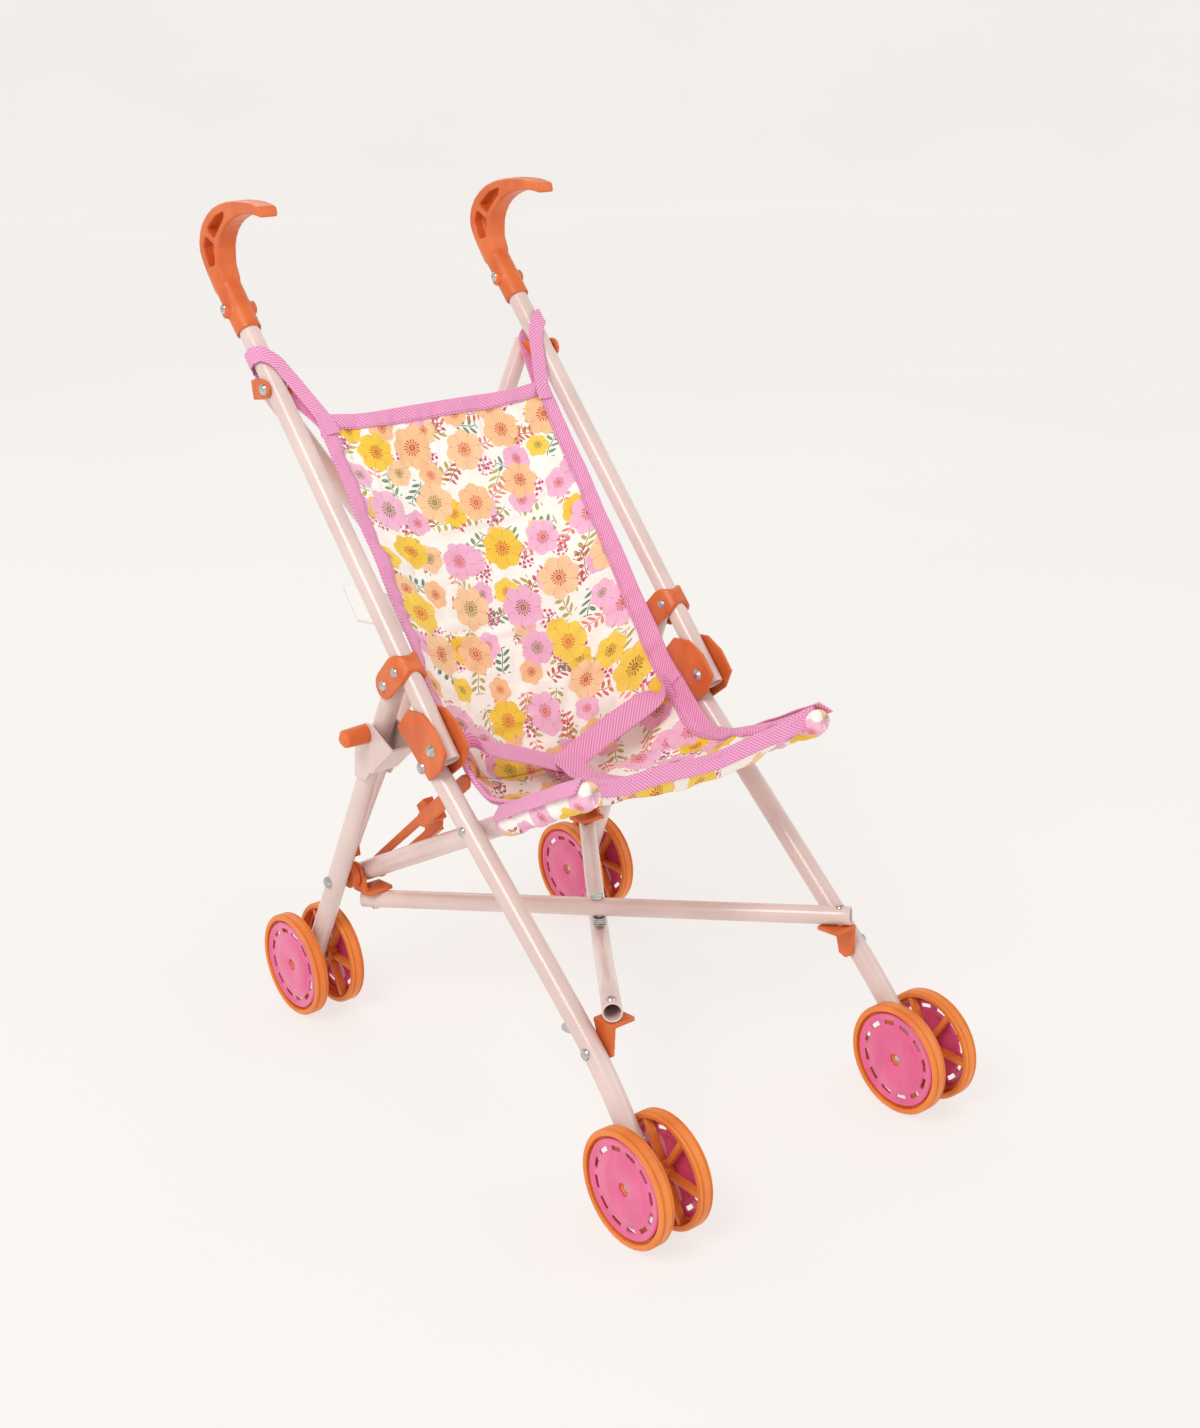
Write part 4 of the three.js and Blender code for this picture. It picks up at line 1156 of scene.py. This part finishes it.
def bound_edge(sling, stitches, name, body, outline, s, v, drop, outer, run, seam):
    """Folded tape over one edge of the cloth, with a row of stitches along it."""
    inward, lifts = np.array(outline).T
    beyond = np.minimum(inward, 0)[None, :, None]
    sections = sling.sample(s, v, lifts[None, :] + drop) - beyond * outer
    girth = np.concatenate(([0], np.hypot(np.diff(inward), np.diff(lifts)).cumsum()))
    uvs = np.stack(np.broadcast_arrays(girth[None, :], run[:, None]), axis=2)
    band = closed_band(f"binding_{name}", sections, uvs, TWILL, body)
    squeeze(band)
    line = sling.sample(*seam, lifts[0] + drop + 0.1 * MM)
    stitches.line(body, line, sling.sample(*seam, 1.0) - sling.sample(*seam))


def seat():
    """The printed sling in two pieces, bound with folded tape on all four edges."""
    rough = seat_surface()
    rough = draped(rough)
    sling = Sling(finer(rough, 250, 129))
    across = np.linspace(-1, 1, 129)
    stitches = Stitches()
    length = sling.length
    cloth = 0.45 * MM
    halves = (("back", 0.0, CREASE, "push_right", 0.0, 1.05 * MM),
              ("base", CREASE - 0.008, 1.0, "rail_right", -BASE_DROP, 1.25 * MM))
    for which, start, end, body, drop, lift in halves:
        v = np.linspace(start, end, int(230 * (end - start)) + 2)
        points = sling.sample(across[None, :], v[:, None], drop)
        uvs = np.stack(np.broadcast_arrays(across[None, :] * HALF_FLAT + 0.2, v[:, None] * length), axis=2)
        made = cloth_piece(f"print_{which}", points, uvs, 0.6 * MM, PRINT, body)
        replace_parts(made, f"seat_{which}")
        squeeze(made)
        outline = hem_outline(11 * MM, lift, cloth)
        inward = np.maximum([d for d, _ in outline], 0)
        v = np.linspace(start, end, int(260 * (end - start)) + 2)
        half = sling.half_at(v)
        for side, sign in SIDES.items():
            over = sign * (1 - inward[None, :] / half[:, None])
            bound_edge(sling, stitches, f"{which}_{side}", body, outline, over, v[:, None], drop,
                       sign * X_AXIS, v * length,
                       (sign * (1 - 9.3 * MM / half), v))
    s = np.linspace(-0.995, 0.995, 150)
    ends = (("top", 0.0, "push_right", 1, 1.15 * MM, 0.0, "print_back"),
            ("front", 1.0, "rail_right", -1, 1.5 * MM, -BASE_DROP, "print_base"))
    for which, at, body, sign, lift, drop, under in ends:
        outline = hem_outline(10.5 * MM, lift, cloth)
        v = at + sign * np.maximum([d for d, _ in outline], 0) / length
        outer = sling.sample(s, at) - sling.sample(s, at + sign * 3 * MM / length)
        outer /= np.linalg.norm(outer, axis=1)[:, None]
        bound_edge(sling, stitches, which, body, outline, s[:, None], v[None, :], drop, outer[:, None, :],
                   s * HALF_FLAT, (s, at + sign * 9 * MM / length))
    for made in stitches.parts.build("stitching", THREAD, "webbing"):
        made.data.uv_layers.new(name="UVMap")
        squeeze(made)
    return sling


SLING = seat()


def height_on(s, z):
    """Where down the sling (0 to 1) its surface at s passes a height."""
    low, high = 0.0, CREASE
    for _ in range(30):
        middle = (low + high) / 2
        low, high = (middle, high) if SLING.sample(s, middle)[2] > z else (low, middle)
    return (low + high) / 2


def belt():
    """Lap belt from side to side with a crotch strap looped over its middle."""
    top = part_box("lap_belt")[1].z
    knot = SLING.sample(0.0, CREASE + 0.035) + 9 * MM * Z_AXIS
    flat = np.array((0.0, 0.86, 0.5))
    thick = 1.3 * MM
    for side, below, width in (("left", 12 * MM, 19 * MM), ("right", 27 * MM, 17 * MM)):
        sign = SIDES[side]
        v = height_on(sign * 0.93, top - below)
        start = SLING.sample(sign * 0.95, v, 2.6 * MM)
        lean = SLING.sample(sign * 0.95, v + 0.05) - SLING.sample(sign * 0.95, v - 0.05)
        lean /= np.linalg.norm(lean)
        middle = (start + knot) / 2 + 1 * MM * Z_AXIS
        over = knot + np.array((-9 * sign, 1, 0.6 * sign)) * MM
        made, run = strap(f"belt_{side}", [start, middle, knot, over],
                          [lean * 0.6 + flat * 0.4, flat, flat, flat], width, TWILL, "rail_right", thick)
        if side == "left":
            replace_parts(made, "lap_belt")
        squeeze(made)
    looped = ((0, -7, -3.4), (0, 8, -3.6), (0, 13.5, 0.4), (0, 8, 4), (0, -8, 3.4), (1, -24, -0.5))
    points = [knot + np.array(step) * MM for step in looped]
    points += [SLING.sample(0.01, 0.80, 4.5 * MM), SLING.sample(0.02, 0.93, 2.2 * MM)]
    made, run = strap("crotch_strap", points, [X_AXIS] * len(points), 20 * MM, TWILL, "rail_right", thick,
                      140)
    squeeze(made)


def loops():
    """Webbing slings that hang the cloth's top corners on the push tubes, above the clips."""
    for side, sign in SIDES.items():
        at, ahead = closest(PATH[f"push_tube_{side}"], place(f"clip_turn_{side}"))
        ahead = ahead if ahead[2] > 0 else -ahead
        front = np.array((0.0, -ahead[2], ahead[1]))
        out = sign * X_AXIS
        anchor = at + ahead * 21 * MM
        corner = SLING.sample(sign * 0.95, 0.012)
        face = SLING.sample(sign * 0.95, 0.012, 1.0) - corner
        for which, way in (("front", 1), ("back", -1)):
            turn = 1.0 if way > 0 else 0.82
            over = ((-8.5, 7.2 * way, -17), (-3.5, 9.1 * way, -7 * turn), (4, 8.6 * way, 0.5),
                    (8.6, 4 * way, 2.6), (9.4, -0.6 * way, 3))
            points = [SLING.sample(sign * 0.93, 0.035) + face * way * 2.2 * MM,
                      corner + face * way * 2.0 * MM - out * 1 * MM]
            points += [anchor + (out * x + front * y + ahead * z) * MM for x, y, z in over]
            wide = [-out, -out, -out * 0.85 + ahead * 0.5, -out * 0.6 + ahead * 0.8, ahead, ahead, ahead]
            made, run = strap(f"loop_{which}_{side}", points, wide, 11 * MM, TWILL, f"push_{side}",
                              1.1 * MM, 70)


def sleeves():
    """Cloth wrapped round the seat rails, drawn up to the sling's side edge, with a tape along each."""
    cover = 98 * MM
    past_tip = 2.5 * MM
    closing = 0.035
    tilt = math.radians(48)
    turns = np.linspace(0, 2 * math.pi, 72, endpoint=False)
    shares = np.linspace(0, 1, 90)
    for side, sign in SIDES.items():
        rail = PATH[f"seat_rail_{side}"]
        toe, tip = sorted((rail[0], rail[-1]), key=lambda end: -end[1])
        ahead = (tip - toe) / np.linalg.norm(tip - toe)
        base = RADIUS[f"seat_rail_{side}"] + 1.1 * MM
        edge = SLING.sample(sign * 0.985, np.linspace(CREASE, 1, 200))
        up = np.array((0.0, -ahead[2], ahead[1]))
        up = up if up[2] > 0 else -up
        spokes = np.cos(turns)[:, None] * X_AXIS + np.sin(turns)[:, None] * up

        def centre_at(share):
            return tip + ahead * (past_tip - cover * (1 - share))

        rows = []
        for share in shares:
            centre = centre_at(share)
            hem = edge[np.abs((edge - centre) @ ahead).argmin()]
            pull = hem - centre - ahead * ((hem - centre) @ ahead)
            reach = max(np.linalg.norm(pull) - 2.4 * MM, base * 1.02)
            tangent = math.acos(min(1, base / reach))
            off = np.abs((turns - math.atan2(pull @ up, pull[0]) + math.pi) % (2 * math.pi) - math.pi)
            radius = np.minimum(base / np.cos(np.maximum(tangent - off, 0)), reach)
            wave = 0.35 * MM * math.sin(share * 23 + sign) + 0.25 * MM * math.sin(share * 51)
            slack = 1.0 * MM * np.maximum(0, -np.sin(turns)) ** 2 * (0.6 + 0.4 * math.sin(share * 17))
            late = max(0.0, (share - 1 + closing) / closing)
            close = max(0.02, math.sqrt(max(0.0, 1 - late ** 2)))
            rows.append(centre + spokes * ((radius + wave + slack) * close)[:, None])
        points = np.array(rows)
        toward = points.mean(1, keepdims=True) - points
        inner = points + toward / np.linalg.norm(toward, axis=2, keepdims=True) * 0.6 * MM
        uvs = np.stack(np.broadcast_arrays(0.4 + turns[None, :] * base, 0.3 + shares[:, None] * cover),
                       axis=2)
        mesh = mesh_from(f"sleeve_{side}", np.concatenate((points, inner[::-1])).reshape(-1, 3),
                         grid_faces(2 * len(shares), len(turns), True, True),
                         np.concatenate((uvs, uvs[::-1])).reshape(-1, 2))
        made = slotted(f"sleeve_{side}", mesh, PRINT, f"rail_{side}")
        normal = up * math.sin(tilt) + X_AXIS * sign * math.cos(tilt)
        flat = X_AXIS * sign * math.sin(tilt) - up * math.cos(tilt)
        line = [centre_at(share) + normal * (base + 1.7 * MM + 0.3 * MM * math.sin(share * 19))
                for share in np.linspace(0.02, 0.985, 24)]
        tape, run = strap(f"edge_tape_{side}", line, [flat] * len(line), 12.5 * MM, TWILL, f"rail_{side}",
                          1.2 * MM, 120)


def front_hem():
    """The cloth's turned hem hanging under the front binding."""
    ss = np.linspace(-0.99, 0.99, 160)
    drops = np.linspace(0, 1, 14)
    edge = SLING.sample(ss, 1.0)
    wave = 1.5 * MM * np.sin(ss * 9 + 0.6) + 1.0 * MM * np.sin(ss * 21)
    depth = 17 * MM + 2 * MM * np.sin(ss * 5 + 1)
    forward = wave[:, None] * drops + 3.5 * MM * drops ** 2
    points = edge[:, None] + forward[..., None] * Y_AXIS - (depth[:, None] * drops)[..., None] * Z_AXIS
    uvs = np.stack(np.broadcast_arrays(0.2 + ss[:, None] * HALF_FLAT,
                                       SLING.length + drops[None, :] * 0.012), axis=2)
    made = cloth_piece("front_hem", points, uvs, 0.8 * MM, PRINT, "rail_right")
    squeeze(made)
    line = edge.copy()
    line[:, 1] -= 1.6 * MM
    line[:, 2] -= 2.6 * MM + 1.2 * MM * np.sin(ss * 7 + 0.8)
    rise = np.array((0.0, 0.42, 0.91))
    tape, run = strap("front_tape", line[::4], [rise] * len(line[::4]), 11 * MM, TWILL, "rail_right",
                      1.4 * MM, 220)
    squeeze(tape)


def tag():
    """A blank folded care label sewn in the right-hand seam."""
    upper, lower = (SLING.sample(-1, height_on(-1, z)) for z in (0.322, 0.300))
    reach = np.array((-1.5, 55, -8)) * MM
    rows = []
    for share in np.linspace(0, 1, 24):
        curl = np.array((-3.5 * math.sin(share * math.pi), 0, 2.5 * math.sin(share * 2.6))) * MM
        rows.append([upper + (lower - upper) * k + reach * share + curl for k in np.linspace(0.02, 0.98, 12)])
    points = np.array(rows)
    uvs = np.stack(np.broadcast_arrays(np.linspace(0, 0.022, 12)[None, :],
                                       np.linspace(0, 0.055, 24)[:, None]), axis=2)
    made = cloth_piece("blank_tag", points, uvs, 0.5 * MM, WHITE, "push_right")


belt()
loops()
sleeves()
front_hem()
tag()
